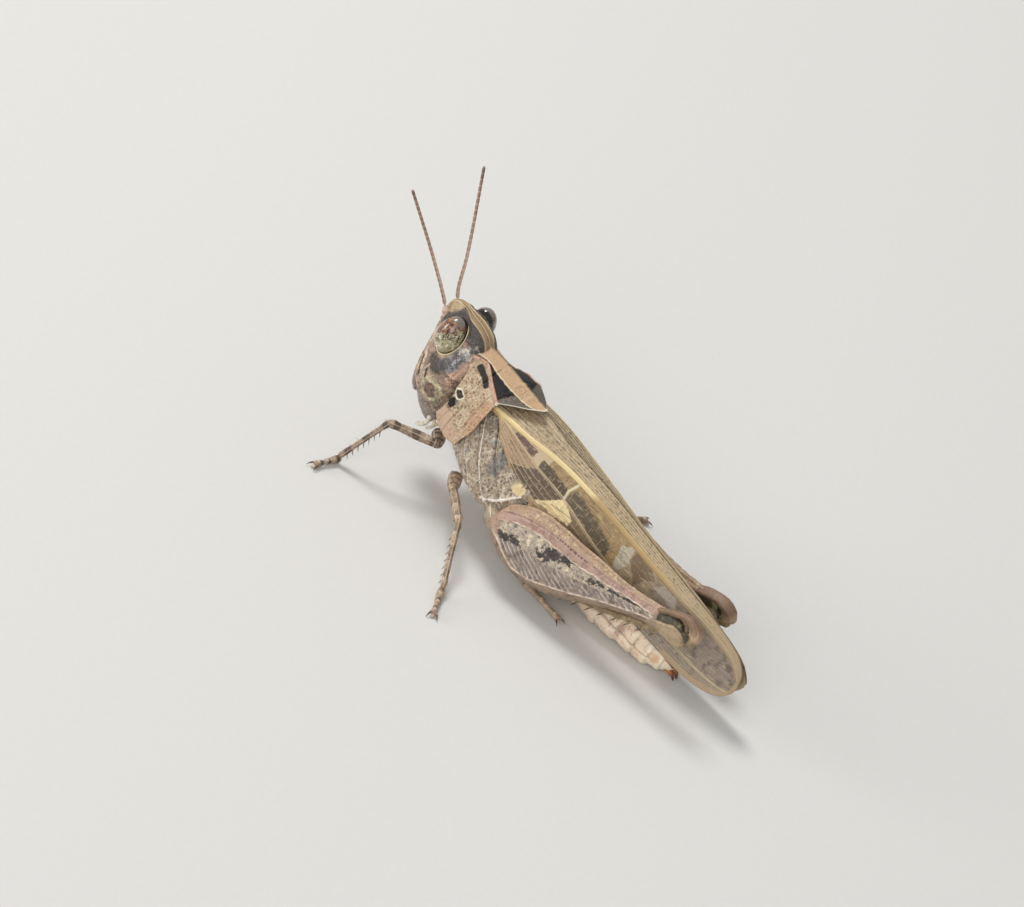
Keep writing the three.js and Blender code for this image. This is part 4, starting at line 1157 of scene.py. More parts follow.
# Rows of [y, ridge height, left and right fold, fold height, lower edge out and up].
FOREWING = [
    [-2.4, 6.75, 1.5, 1.6, 6.3, 1.9, 5.6],
    [-1.3, 6.95, 1.5, 1.62, 6.6, 2.05, 5.25],
    [0.5, 7.15, 1.42, 1.55, 6.85, 2.1, 4.75],
    [3.0, 7.3, 1.03, 1.18, 7.1, 1.9, 4.3],
    [6.0, 7.4, 0.94, 0.68, 7.25, 1.65, 4.15],
    [9.0, 7.3, 0.79, 0.5, 7.14, 1.4, 4.1],
    [12.0, 7.2, 0.72, 0.42, 7.1, 1.1, 4.0],
    [14.5, 7.15, 0.5, 0.2, 7.05, 0.8, 3.95],
    [16.0, 6.95, 0.42, 0.18, 6.88, 0.6, 4.25],
    [16.9, 6.6, 0.42, 0.2, 6.5, 0.5, 4.75],
    [17.2, 6.4, 0.42, 0.25, 6.3, 0.48, 5.1],
]
WING_ENDS = (FOREWING[0][0], FOREWING[-1][0])
# A place across the wing is its part of the section: 0 at the inner edge over the back, the
# pale stripe at 0.395, and 1 at the lower edge. These are curves of [y, part]: the vein below
# the dark patches, and the lower edge, which narrows to the wing's base.
STRIPE = 0.395
CUBITUS = [[-1.3, 0.45], [-0.8, 0.476], [1.27, 0.58], [2.1, 0.617], [4.1, 0.644], [6.8, 0.73],
           [9, 0.78], [17.2, 0.84]]
COSTA = [[-2.4, 0.45], [-1.3, 0.5], [-1.0, 0.6], [-0.56, 0.732], [0.46, 0.845], [1.29, 0.915],
         [2.33, 0.955], [4, 1], [17.2, 1]]
DORSAL_VEINS = (0.05, 0.1, 0.155, 0.21, 0.262, 0.31, 0.35)
STRIPE_VEINS = (0.372, STRIPE, 0.418)
WING_SPAN = 5.2


def inside(place, *corners):
    """How deep points lie inside a flat convex outline given as [y, part] corners."""
    corners = np.array(corners, float) * [1, WING_SPAN]
    middle = corners.mean(0)
    depth = 9.0
    for a, b in zip(corners, np.roll(corners, -1, axis=0)):
        inward = unit([a[1] - b[1], b[0] - a[0]])
        inward = inward if (middle - a) @ inward > 0 else -inward
        depth = np.minimum(depth, (place - a) @ inward)
    return depth


def wing_sheet(side, y, part):
    """The outer face of a wing, the left one laid over the right one along the back."""
    ridge, left, right, fold_z, low_x, low_z = np.moveaxis(through(FOREWING)(y[:, 0]), -1, 0)
    if side > 0:
        fold_x, lifted = left, 0.06
        over_back = [0.5, 0.55, 0.22, 0.14, 0.1, 0]
        inner_x = -np.interp(y[:, 0], [-1.3, 0.3, 1.8, 6, 14, 17.2], over_back)
    else:
        fold_x, lifted = right, -0.08
        inner_x = np.full(len(y), 0.04)
    xs = [inner_x, fold_x * 0.86, fold_x, lerp(fold_x, low_x, 0.6), low_x]
    zs = [ridge + lifted, lerp(ridge, fold_z, 0.7), fold_z - 0.12, lerp(fold_z, low_z, 0.5), low_z]
    share = weights([0, 0.3, 0.42, 0.7, 1], part)
    x, z = (np.einsum("ka,abk->ab", np.stack(v), share) for v in (xs, zs))
    return np.stack([x, np.broadcast_to(y, x.shape), z], -1), fold_z[:, None]


def wing_veins(y, part, cubitus, costa, scale):
    """How near each point lies to a vein along the wing, and to one across a field."""
    veins = [(at + 0.004 * np.sin(y + at * 40), 1.0) for at in DORSAL_VEINS]
    veins += [(at, 1.5) for at in STRIPE_VEINS] + [(cubitus, 1.5), (cubitus + 0.018, 1.1)]
    veins += [(lerp(0.43, cubitus, at), 0.7 * smooth(4.0, 5.5, y)) for at in (0.34, 0.67)]
    veins += [(lerp(cubitus, costa, at), 0.9) for at in (0.3, 0.48, 0.66, 0.84)]
    vein, field = np.zeros_like(part), np.zeros(part.shape, int)
    for at, strong in veins:
        vein = np.maximum(vein, strong * hump((part - at) * scale, 0.032))
        field = field + (part > at)
    pitch = np.where(part < 0.37, 0.15, 0.26)
    cell = np.floor(y / pitch).astype(int)
    cross = np.zeros_like(part)
    for shift in (-1, 0, 1):
        shown, offset, tilt, _ = np.moveaxis(
            hashed(np.stack([cell + shift, field, 0 * field], -1), 61), -1, 0)
        at = (cell + shift + 0.5 + 0.5 * (offset - 0.5)) * pitch
        slant = (part - 0.5) * 2.0 * (tilt - 0.5)
        cross = np.maximum(cross, hump(y - at - slant, 0.022) * (shown > 0.2))
    return vein, cross


def forewing(side):
    along, across = 384, 129
    t = np.linspace(0, 1, along)
    y = lerp(*WING_ENDS, t + 0.12 * np.sin(np.pi * t))[:, None]
    cubitus, costa = (np.interp(y, *np.transpose(rows)) for rows in (CUBITUS, COSTA))
    part = np.linspace(0, 1, across) * costa
    outer, fold_z = wing_sheet(side, y, part)
    step = np.linalg.norm(np.diff(outer, axis=1), axis=2)
    arc = np.concatenate([np.zeros((along, 1)), np.cumsum(step, axis=1)], axis=1)
    whole = arc[:, -1:]
    scale = np.gradient(arc, axis=1) / np.maximum(np.gradient(part, axis=1), 1e-6)
    # The tip is rounded off at both corners.
    low, high = (
        size * (1 - np.sqrt(1 - np.clip(1 - (WING_ENDS[1] - y) / reach, 0, 1) ** 2))
        for size, reach in ((0.6, 1.4), (0.45, 1.0)))
    for i in np.flatnonzero(low[:, 0] + high[:, 0] > 0):
        at = lerp(low[i], whole[i] - high[i], arc[i] / whole[i])
        outer[i] = np.stack([np.interp(at, arc[i], outer[i, :, k]) for k in range(3)], -1)
    arc = arc * (1 - (low + high) / whole)
    whole = arc[:, -1:]
    x, _, z = np.moveaxis(outer, -1, 0)
    vein, cross = wing_veins(y, part, cubitus, costa, scale)
    edge = least(arc, whole - arc, y - WING_ENDS[0], (WING_ENDS[1] - y) * 1.5)
    thick = 0.03 + 0.05 * smooth(0, 0.2, edge)
    inward = np.stack([-smooth(0.1, 0.9, x), 0 * x, -smooth(fold_z - 1.2, fold_z, z)], -1)
    inward /= np.maximum(np.linalg.norm(inward, axis=-1), 0.3)[..., None]

    # The upper dark patches end along this line; between it and the stripe the wing is tan.
    crown = np.interp(
        y, [0.1, 1.5, 1.98, 3.9, 4.3, 6.75, 9], [0.428, 0.48, 0.505, 0.56, 0.5, 0.58, 0.7])
    place = np.stack([np.broadcast_to(y, part.shape), part * WING_SPAN], -1)
    above, below = (part - crown) * WING_SPAN, (cubitus - part) * WING_SPAN
    strip, lower = least(above, below), part > cubitus
    shade_start, shade_end = 2.0 + (0.637 - part) * 5.5, 3.8 + (0.727 - part) * 4.5
    cream = inside(
        place, (3.0, 0.9), (3.6, 0.66), (4.26, 0.65), (5.16, 0.745), (5.13, 0.81), (4.27, 0.86))
    fork = [np.array(at) * [1, WING_SPAN] for at in ((4.08, 0.645), (3.98, 0.564), (4.14, 0.45))]
    form = plate(
        outer, outer + inward * thick[..., None],
        vein=vein,
        cross=cross,
        edge=edge,
        stripe=lerp(0.16, 0.22, smooth(4.5, 7, y)) - abs(part - STRIPE) * scale,
        purple=least(strip, y + 0.1 - 1.2 * (cubitus - part), 1.44 - y),
        olive=least(strip, y - 1.95, 3.98 - y),
        strip=least(strip, y - 4.15, 7.6 - y),
        tan=least((part - 0.41) * WING_SPAN, below, y - 1.9, 8.2 - y),
        gap=least((part - 0.43) * WING_SPAN, below, y - 0.6, 2.3 - y),
        fork=0.07 - from_line(place, *fork),
        shade=np.where(
            lower, least(y - shade_start, shade_end - y, (0.9 - part) * WING_SPAN), -1),
        cream=np.where(lower, least(y - shade_end, cream), -1),
        base=np.where(lower, 1.7 - y, -1),
        after=np.where(lower, y - 4.4, -1),
        bar=inside(place, (7.9, 0.52), (8.5, 0.435), (8.85, 0.58), (8.65, 0.74), (8.25, 0.74)),
        brown=inside(place, (8.75, 0.56), (8.7, 0.43), (9.9, 0.43), (10.4, 0.5), (9.7, 0.7)),
        frost=inside(place, (10.6, 0.56), (11.0, 0.45), (11.9, 0.45), (12.2, 0.56)),
        smoke=smooth(8.0, 13.0, y),
        sun=5.2 - y,
        rim=0.34 - edge - 2 * smooth(13.2, 12.2, y),
        hem=0.1 - (whole - arc) - 2 * smooth(3.6, 4.4, y),
        dorsal=0.365 - part,
        lip=0.12 - arc)
    vein, cross, edge, dorsal = (form.values[key] for key in ("vein", "cross", "edge", "dorsal"))
    lift = np.maximum(vein, 0.6 * cross) * 0.036 - 0.03 * dorsal.clip(0, 0.1)
    lift += 0.02 * fractal(form.points, 0.9, 62, 2) * smooth(0.1, 0.4, edge)
    form.raised(lift * np.where(np.arange(len(lift)) < x.size, 1, -0.3))
    return form.moved(from_trunk).on_side(side)


def wing_paint(name, shade):
    p = Paint(name, "#a99476", 0.42, Specular_IOR_Level=0.45)
    p.mottle("#7e6b55", "#cab694", 0.4, 0.8, 61)
    fleck = p.cloud(0.13, 72, 0.04, 0.13, stretch=(1.6, 0.8, 1.6))
    # The tip and the lower field turn a smoky grey.
    smoke = p.step(p.math("ADD", p.value("smoke"), p.noise(1.2, 3, 73)), 0.3, 0.9)
    p.coat("#8a7d72", 0.85, smoke)
    p.coat("#5f5450", 0.7, p.cloud(0.5, 67, 0.0, 0.14, 4), smoke)
    p.coat("#a79a8b", 0.5, p.cloud(0.3, 74, 0.05, 0.16, 4), smoke)
    tan = p.mark("tan", 0.12, 0.3, 0.4, 85)
    p.coat("#997d53", 0.75, tan)
    p.coat("#bba370", 0.6, p.cloud(0.35, 86, 0.02, 0.13, 4), tan)
    p.coat("#594b33", 0.65, fleck, tan)
    after = p.mark("after", 0.2, 0.4, 0.4, 75)
    p.coat("#705f49", 0.7, after, p.math("SUBTRACT", 1.0, smoke))
    base = p.mark("base", 0.15, 0.5, 0.4, 76)
    p.coat("#a88a6d", 0.7, base)
    p.coat("#6e564a", 0.8, fleck, base)
    p.coat("#cbb795", 0.8, p.mark("gap", 0.05, 0.25, 0.25, 78))
    purple = p.mark("purple", 0.03, 0.3, 0.2, 63)
    p.coat("#5b403c", 0.92, purple)
    p.coat("#8f7062", 0.6, fleck, purple)
    olive = p.mark("olive", 0.03, 0.35, 0.2, 64)
    p.coat("#453b30", 0.9, olive)
    p.coat("#857459", 0.6, fleck, olive)
    p.coat("#4b4338", 0.85, p.mark("strip", 0.09, 0.4, 0.25, 79))
    patch = p.mark("shade", 0.05, 0.45, 0.22, 80)
    p.coat("#594a3e", 0.93, patch)
    p.coat("#967e6b", 0.75, fleck, patch)
    cream = p.mark("cream", 0.04, 0.45, 0.24, 65)
    p.coat("#eddaa9", 0.95, cream)
    p.coat("#c2a36b", 0.6, p.cloud(0.3, 88, 0.04, 0.14, stretch=(1.5, 0.5, 1.5)), cream)
    p.coat("#d6cdb0", 0.9, p.mark("fork", 0.02, 0.08, 0.15, 81))
    bar = p.mark("bar", 0.06, 0.5, 0.2, 66)
    p.coat("#c4bda9", 0.75, bar)
    p.coat("#8f8471", 0.6, fleck, bar)
    p.coat("#6a5741", 0.75, p.mark("brown", 0.08, 0.4, 0.3, 82))
    p.coat("#b4aa9d", 0.7, p.mark("frost", 0.06, 0.4, 0.25, 83))
    # Fine streaks run along the veins over all the markings.
    p.coat("#5c4b3c", 0.5, p.cloud(0.3, 89, 0.05, 0.15, 4, stretch=(3, 0.35, 3)))
    p.coat("#d0bd99", 0.45, p.cloud(0.26, 90, 0.08, 0.17, 4, stretch=(3, 0.35, 3)))
    # The dorsal field takes the tone given: lighter on the left wing as lit, darker on the right
    # one as painted shade.
    dorsal = p.level("dorsal", 0.0, 0.012)
    p.coat(shade, 0.8, dorsal)
    p.coat("#5f5341", 0.7, fleck, dorsal)
    streak = p.cloud(0.2, 62, 0.02, 0.14, stretch=(2.6, 0.4, 2.6))
    p.coat("#463a2d", 0.75, streak, dorsal)
    p.coat("#b8a985", 0.6, p.level("cross", 0.5, 0.95), dorsal)
    p.coat("#b3a284", 0.6, p.level("cross", 0.4, 0.9), p.cloud(0.7, 68, -0.15, 0.05, 2))
    p.coat("#c9b68f", 0.8, p.level("vein", 0.45, 0.9))
    stripe = p.mark("stripe", 0.02, 0.03, 0.15, 69)
    p.coat("#b79b6a", 0.9, stripe, p.level("smoke", 1.0, 0.5))
    p.coat("#ab957a", 0.7, stripe, p.level("smoke", 0.5, 1.0))
    bright = p.times(stripe, p.step(p.math("ADD", p.value("sun"), p.noise(0.6, 3, 87)), -0.3, 0.3))
    p.coat("#e6d09c", 0.95, bright)
    p.coat("#a08053", 0.6, p.level("vein", 0.75, 0.35), stripe)
    p.coat("#b5925f", 0.85, p.mark("hem", 0.03, 0.05, 0.2, 84))
    p.coat("#ae9676", 0.85, p.mark("rim", 0.06, 0.1, 0.2, 70))
    # Painted shadow: a dark line along the inner edge, where the wings meet over the back.
    p.coat("#2c251d", 0.6, p.level("lip", 0.0, 0.06))
    return p.finish(p.noise(0.05, 3, 71), 0.015)


# Rows of [y, top, bottom] of the folded hind wing.
HINDWING = [[3.0, 6.55, 6.02], [8.0, 6.65, 5.75], [12.0, 6.55, 5.3], [14.2, 6.4, 5.0],
            [14.9, 6.1, 5.3]]
PLEATS = 60


def hindwing(side):
    start, end = HINDWING[0][0], HINDWING[-1][0]
    y = np.linspace(start, end, 150)[:, None]
    drop = np.linspace(0, 1, 60)[None]
    top, bottom = np.moveaxis(through(HINDWING)(y), -1, 0)
    z = lerp(top, bottom, drop)
    pleat = np.sin(drop * PLEATS)
    edge = least(drop * 2, (1 - drop) * 2, y - start, end - y)
    outer = np.stack([0.3 + 0.045 * pleat + 0 * z, y + 0 * z, z], -1)
    inner = outer - np.array([0.05, 0, 0]) * (0.4 + smooth(0, 0.3, edge))[..., None]
    return plate(outer, inner, fold=pleat).moved(from_trunk).on_side(side)


def hindwing_paint():
    p = Paint("hindwing_veil", "#b0a695", 0.3, Coat_Weight=0.3)
    p.mottle("#8f8574", "#c9c1b2", 0.5, 0.6, 81)
    p.coat("#5f5344", 0.8, p.level("fold", 0.75, 0.95))
    return p.finish(p.cells(0.2, "DISTANCE_TO_EDGE"), 0.01)


# ---------------------------------------------------------------- legs

# Joints of the left legs, above the floor. The hind knees differ, as in the photo.
FORE_LEG = {"root": [1.05, -3.0, 3.15], "hip": [1.75, -2.45, 3.15], "knee": [3.2, -4.75, 3.3],
            "ankle": [4.35, -6.0, 0.5], "heel": [4.35, -6.0, 0.24], "toe": [5.85, -6.25, 0.2]}
MID_LEG = {"root": [1.75, -0.75, 2.3], "hip": [2.35, -0.3, 2.05], "knee": [4.6, 1.95, 2.35],
           "ankle": [7.15, 3.98, 0.5], "heel": [7.15, 3.98, 0.24], "toe": [8.85, 4.98, 0.2]}
HIND_LEG = {"root": [1.75, 2.2, 2.3], "hip": [2.85, 2.87, 2.53],
            "ankle": [2.02, 5.6, 0.72], "heel": [2.05, 5.35, 0.24], "toe": [2.55, 8.3, 0.2]}
HIND_KNEE = {1: [2.3, 15.95, 4.8], -1: [2.1, 15.15, 3.9]}
HIND_LEAN = math.radians(16.8)
# Rows of [share of the length, half height above and below, half width].
HIND_THIGH = [
    [0.0, 0.35, 0.35, 0.4],
    [0.03, 1.0, 0.85, 0.62],
    [0.11, 1.52, 1.6, 0.78],
    [0.2, 1.66, 1.92, 0.85],
    [0.3, 1.48, 1.95, 0.85],
    [0.4, 1.2, 1.68, 0.8],
    [0.5, 0.98, 1.28, 0.68],
    [0.58, 0.72, 0.98, 0.56],
    [0.67, 0.56, 0.7, 0.46],
    [0.77, 0.5, 0.58, 0.42],
    [0.85, 0.7, 0.8, 0.48],
    [0.93, 0.92, 1.06, 0.52],
    [0.98, 0.8, 0.8, 0.46],
    [1.0, 0.4, 0.3, 0.32],
]


def off_angle(angle, at):
    """The angle from one direction round a limb to others, the short way."""
    return np.angle(np.exp(1j * (angle - at)))


def keeled(grid, t, angle, keels, height=0.05, width=0.16, **values):
    """A limb with raised keels along it at the given angles."""
    keel = sum(hump(off_angle(angle, at), width) for at in keels)
    form = tube(grid, dome=0.5, t=t, keel=keel, **values)
    form.raised(height * form.values["keel"])
    rough = 0.008 * fractal(form.points, 0.12, 91, 2) + 0.012 * fractal(form.points, 0.35, 92, 2)
    return form.raised(rough)


FOOT = [[0, 0.2, 0.17], [0.12, 0.2, 0.2], [0.36, 0.15, 0.17], [0.42, 0.1, 0.12],
        [0.47, 0.15, 0.17], [0.58, 0.13, 0.16], [0.62, 0.09, 0.11], [0.68, 0.12, 0.12],
        [0.9, 0.16, 0.16], [1, 0.16, 0.2]]
FOOT_PADS = ((0.08, 0.19), (0.2, 0.19), (0.33, 0.19), (0.53, 0.17), (0.93, 0.15))


def foot(leg):
    """A three-jointed foot with pads beneath it, two claws and the pad between them."""
    heel, toe = np.array(leg["heel"]), np.array(leg["toe"])
    flat = (toe - heel) * [1, 1, 0]
    forward = unit(flat)
    across = np.array([-forward[1], forward[0], 0])
    grid, t, _ = limb(heel + [0, 0, 0.03], toe + [0, 0, 0.02], FOOT, rings=90, sides=28)
    forms = [tube(grid, dome=0.7, t=t, keel=0)]
    for at, size in FOOT_PADS:
        middle, reach = heel + flat * at + [0, 0, 0.085], forward * size * 0.45
        rows = [[0, 0.06, 0.09], [0.5, 0.083, 0.13], [1, 0.06, 0.09]]
        pad = limb(middle - reach, middle + reach, rows, rings=8, sides=16)[0]
        forms.append(tube(pad, dome=0.6, t=at, claw=-1))
    end = toe * [1, 1, 0]
    for side in (1, -1):
        root = end + across * side * 0.1 - forward * 0.05 + [0, 0, 0.2]
        tip = end + across * side * 0.3 + forward * 0.4 + [0, 0, 0.05]
        forms.append(spike(root, tip, 0.07, bend=(0, 0, 0.1), sides=10, claw=1))
    rows = [[0, 0.07, 0.07], [0.7, 0.07, 0.12], [1, 0.03, 0.06]]
    lobe = limb(end + [0, 0, 0.16], end + forward * 0.24 + [0, 0, 0.1], rows, rings=12, sides=14)[0]
    forms.append(tube(lobe, dome=0.8, t=1, claw=-1))
    return joined(*forms)


def hairs(form, count, length, seed):
    """Short stiff hairs that stand on a form and lean toward the animal's tail."""
    random = np.random.default_rng(seed)
    normals = form.normals()
    chosen = random.choice(np.arange(len(form.points)), count, replace=False)
    out = []
    for i in chosen:
        lean = unit(normals[i] + random.normal(0, 0.35, 3) + [0, 0.3, -0.1])
        size = length * random.uniform(0.6, 1.2)
        root = form.points[i] - normals[i] * 0.02
        if root[2] + lean[2] * size > 0.03:
            out.append(spike(root, root + lean * size, 0.011, sides=3))
    return out


# Rows of the fore and middle legs' parts, as limb reads them.
COXA = [[0, 0.38, 0.38], [0.6, 0.35, 0.35], [1, 0.24, 0.24]]
TROCHANTER = [[0, 0.2, 0.2], [0.5, 0.25, 0.24], [1, 0.18, 0.17]]
THIGH = [[0, 0.15, 0.13], [0.08, 0.22, 0.18], [0.4, 0.28, 0.21], [0.8, 0.21, 0.18],
         [0.93, 0.25, 0.22], [1, 0.17, 0.16]]
SHANK = [[0, 0.15, 0.14], [0.06, 0.2, 0.17], [0.14, 0.15, 0.14], [0.7, 0.14, 0.13],
         [0.96, 0.17, 0.16], [1, 0.12, 0.12]]


def small_leg(leg, seed):
    """A fore or middle leg from hip to claws, with two rows of spines along its shank."""
    hip, knee, ankle = (np.array(leg[k]) for k in ("hip", "knee", "ankle"))
    reach, down = knee - hip, ankle - knee
    grid, t, angle = limb(leg["root"], hip, COXA, rings=24, sides=36)
    forms = [keeled(grid, t, angle, (0.6, 2.4), 0.04, claw=-0.2)]
    grid, t, _ = limb(hip - reach * 0.03, hip + reach * 0.12, TROCHANTER, rings=16, sides=30)
    forms.append(tube(grid, dome=0.5, t=t))
    grid, t, angle = limb(hip, knee, THIGH, rings=90, sides=44)
    forms.append(keeled(grid, t, angle, (0.5, 1.57, 2.6, -0.7, -2.4), 0.035, 0.14))
    grid, t, angle = limb(knee, ankle, SHANK, rings=80, sides=32)
    shin = keeled(grid, t, angle, (1.57, 0.2, 2.9), 0.025, 0.2)
    forms.append(shin)
    direction = unit(down)
    side = unit(np.cross(direction, (0, 0, 1)))
    belly = np.cross(direction, side)
    belly = belly if belly[2] < 0 else -belly
    for i, way in itertools.product(range(7), (1, -1)):
        root = knee + down * (0.22 + 0.11 * i) + belly * 0.1 + side * way * 0.09
        tip = root + belly * 0.2 + side * way * 0.13 + direction * 0.2
        forms.append(spike(root, tip, 0.04, claw=0.7))
    forms.append(foot(leg))
    return joined(*forms, *hairs(shin, 60, 0.22, seed))


def leg_paint(name, base, dark, pale, seed, bands):
    """A mottled leg with darker rings along it, pale keels and pads, and dark claw tips."""
    p = Paint(name, base, 0.48)
    p.mottle(dark, pale, 0.3, 0.7, seed)
    run = p.math("ADD", p.times(p.value("t"), 17.0), p.times(p.noise(0.6, 2, seed + 1), 4.0))
    band = p.step(p.math("SINE", run), 0.1, 0.6)
    p.coat(dark, bands, band)
    p.speckle(dark, 0.17, 0.22, 0.6)
    p.coat(pale, 0.7, p.level("keel", 0.5, 0.95))
    p.coat("#d0bea4", 0.6, p.level("claw", -0.3, -0.7))
    p.coat("#1d1511", 0.95, p.step(p.times(p.value("claw"), p.value("tip")), 0.3, 0.6))
    return p.finish(p.noise(0.05, 4, seed + 2), 0.015)


# The lines of the thigh's outer face, as [mm from the hip, share of the height].
THIGH_UPPER = [[0, 0.64], [0.7, 0.665], [1.6, 0.735], [3, 0.76], [5, 0.75], [6.8, 0.7],
               [8.8, 0.7], [9.8, 0.62], [10.7, 0.55]]
THIGH_LOWER = [[0, 0.36], [0.9, 0.29], [2.2, 0.1], [3.3, 0.11], [4.2, 0.15], [6.5, 0.165],
               [8, 0.19], [9, 0.21], [10.2, 0.3], [10.8, 0.38]]
THIGH_ROW = [[0, 0.86], [2, 0.855], [4.5, 0.885], [7, 0.84], [8.1, 0.87], [9.6, 0.84]]
# Its black spots, as (mm from the hip, three times the share of the height, and both radii).
THIGH_SPOTS = [
    (1.15, 1.3, 0.45, 0.22), (1.9, 1.45, 0.35, 0.16), (3.75, 1.62, 0.42, 0.16),
    (4.2, 1.95, 0.6, 0.28), (4.95, 2.08, 0.5, 0.2), (6.8, 1.68, 0.3, 0.2),
    (7.3, 1.82, 0.35, 0.16), (7.95, 1.75, 0.4, 0.15), (8.6, 1.75, 0.35, 0.15),
    (9.3, 1.7, 0.3, 0.15)]
# The knee: its lower lobe ends at this share of the thigh, under the shell's arch.
LOBE_END = 0.94
LOBE = [[0.83, 0.58, 0.72, 0.44], [0.87, 0.6, 0.86, 0.46], [0.9, 0.52, 0.96, 0.46],
        [0.922, 0.36, 1.0, 0.42], [0.934, 0.08, 0.96, 0.36], [LOBE_END, -0.2, 0.86, 0.26]]
LOBE_TOP = [[0.78, -0.2], [0.812, -0.18], [0.86, -0.07], [0.887, 0.04], [0.917, -0.1],
            [0.957, -0.3]]
SHELL_PATH = [[0.775, 0.26], [0.82, 0.44], [0.865, 0.59], [0.91, 0.66], [0.945, 0.56],
              [0.967, 0.34], [0.978, 0.08], [0.98, -0.12]]


def thigh_frame(side):
    """The thigh's start, its whole reach, and the ways across it and up it."""
    hip = np.array(HIND_LEG["hip"])
    along = np.array(HIND_KNEE[side]) - hip
    top = (-math.sin(HIND_LEAN), 0, math.cos(HIND_LEAN))
    across = unit(np.cross(unit(along), top))
    return hip, along, across, np.cross(across, unit(along)), top


def thigh_shaft(side):
    hip, along, _, up, top = thigh_frame(side)
    rows = np.array([row for row in HIND_THIGH if row[0] < 0.8] + LOBE)
    rows[:, 0] /= LOBE_END
    grid, t, angle = limb(hip, hip + along * LOBE_END, rows, top, rings=340, sides=220)
    t = t * LOBE_END
    mm = t * np.linalg.norm(along)
    above, below, girth = np.moveaxis(through(HIND_THIGH)(t), -1, 0)
    full = above + below
    high = (grid - hip - t[..., None] * along) @ up
    share = (high + below) / full
    outside = smooth(-0.1, 0.3, np.cos(angle))
    both = outside + 0.5 * smooth(-0.1, 0.3, -np.cos(angle))
    shaft = smooth(0.015, 0.05, t) * smooth(0.82, 0.76, t)

    # Two long ridges bound the face; a row of dashes and a groove run over the upper one.
    upper, lower, row = (
        np.interp(mm, *np.transpose(rows)) for rows in (THIGH_UPPER, THIGH_LOWER, THIGH_ROW))
    above_line = (share - upper) * full + 0.012 * np.sin(mm * 11) + 0.035 * noise(grid, 0.45, 94)
    low_line = (share - lower) * full + 0.02 * noise(grid, 0.5, 93)
    above_row = (share - row) * full
    comb = smooth(-0.2, 0.5, np.sin(mm * 34 + 5 * noise(grid, 0.5, 98)))
    comb = comb * smooth(-0.5, 0.2, noise(grid, 0.7, 91)) * smooth(8.6, 7.5, mm)
    dashes = hump(above_row - 0.02, 0.05) * comb * shaft

    # The herringbone between them.
    off = (share - 0.47) * full
    medial = smooth(0, 0.06, low_line) * smooth(0, 0.06, -above_line) * shaft
    wave = (mm - abs(off) * 1.5 + 0.12 * noise(grid, 0.8, 97)) / 0.44
    lane = smooth(0.02, 0.1, -off) + 0.35 * smooth(0.05, 0.2, off)
    bone = hump((wave % 1) - 0.5, 0.12) * medial * lane * smooth(-0.6, 0.0, noise(grid, 0.3, 92))

    lift = 0.08 * (hump(above_line, 0.05) + hump(low_line, 0.055)) * both
    girth = np.maximum(girth, 0.2)
    lift += 0.08 * hump(off_angle(angle, np.pi / 2), 0.07 / girth)
    lift += 0.06 * hump(off_angle(angle, -np.pi / 2), 0.08 / girth)
    lift = (lift - 0.05 * hump(above_row, 0.045) * both) * shaft
    lift += (0.06 * bone - 0.05 * medial) * both - 0.02 * dashes

    # The knee's hollow over its lower lobe.
    over = high - np.interp(t, *np.transpose(LOBE_TOP))
    hollow = smooth(0.0, 0.08, over) * smooth(0.79, 0.82, t) * (abs(np.cos(angle)) > 0.15)
    lift += 0.05 * hump(over + 0.06, 0.06) * smooth(0.8, 0.83, t) - 0.2 * hollow
    face = np.stack([mm, share * 3], -1)
    spots = most(*(blob(face, (a, b), (c, d)) for a, b, c, d in THIGH_SPOTS))
    form = tube(
        grid, lift=lift, t=t, share=share, outside=outside, hollow=hollow,
        bone=bone * outside, dashes=dashes * outside, medial=medial * outside,
        keel=(hump(above_line, 0.05) + hump(low_line, 0.06)) * shaft,
        band=above_line, low=-low_line - 0.05, above=above_row,
        under=smooth(0.05, -0.15, off) * medial,
        blotch=np.where(outside > 0.3, spots, -1), hip=0.75 - mm)
    lift = form.values.pop("lift")
    lift[-2:] = 0
    return form.raised(lift)


def knee_shell(side):
    """The horn that arches over the knee and ends in a knuckled knob."""
    hip, along, across, up, _ = thigh_frame(side)
    path = path_through([hip + a * along + b * up for a, b in SHELL_PATH], 110)
    normal = np.cross(across, unit(np.gradient(path, axis=0)))
    s = np.linspace(0, 1, len(path))[:, None]
    high = np.interp(s, [0, 0.15, 0.5, 0.75, 0.9, 1], [0.08, 0.13, 0.16, 0.22, 0.33, 0.3])
    wide = np.interp(s, [0, 0.2, 0.6, 0.9, 1], [0.26, 0.36, 0.36, 0.37, 0.28])
    c, d = rim(around(64), 2.4)
    grid = path[:, None] + (wide * c)[..., None] * across + (high * d)[..., None] * normal[:, None]
    form = tube(grid, dome=0.8, shell=1, t=s, share=d, keel=hump(d + 0.75, 0.25) * abs(c))
    knuckles = hump((form.points @ across * 5.2) % 1 - 0.5, 0.16)
    knob = smooth(0.72, 0.9, form.values["t"])
    rolled = hump(form.values["share"] + 0.8, 0.25)
    return form.raised(0.03 * rolled - 0.06 * knob * knuckles)


def hind_thigh(side):
    whole = joined(thigh_shaft(side), knee_shell(side))
    p = whole.points
    whole.raised(0.008 * fractal(p, 0.13, 95, 2) + 0.018 * fractal(p, 0.6, 96, 2))
    return whole.on_side(side)


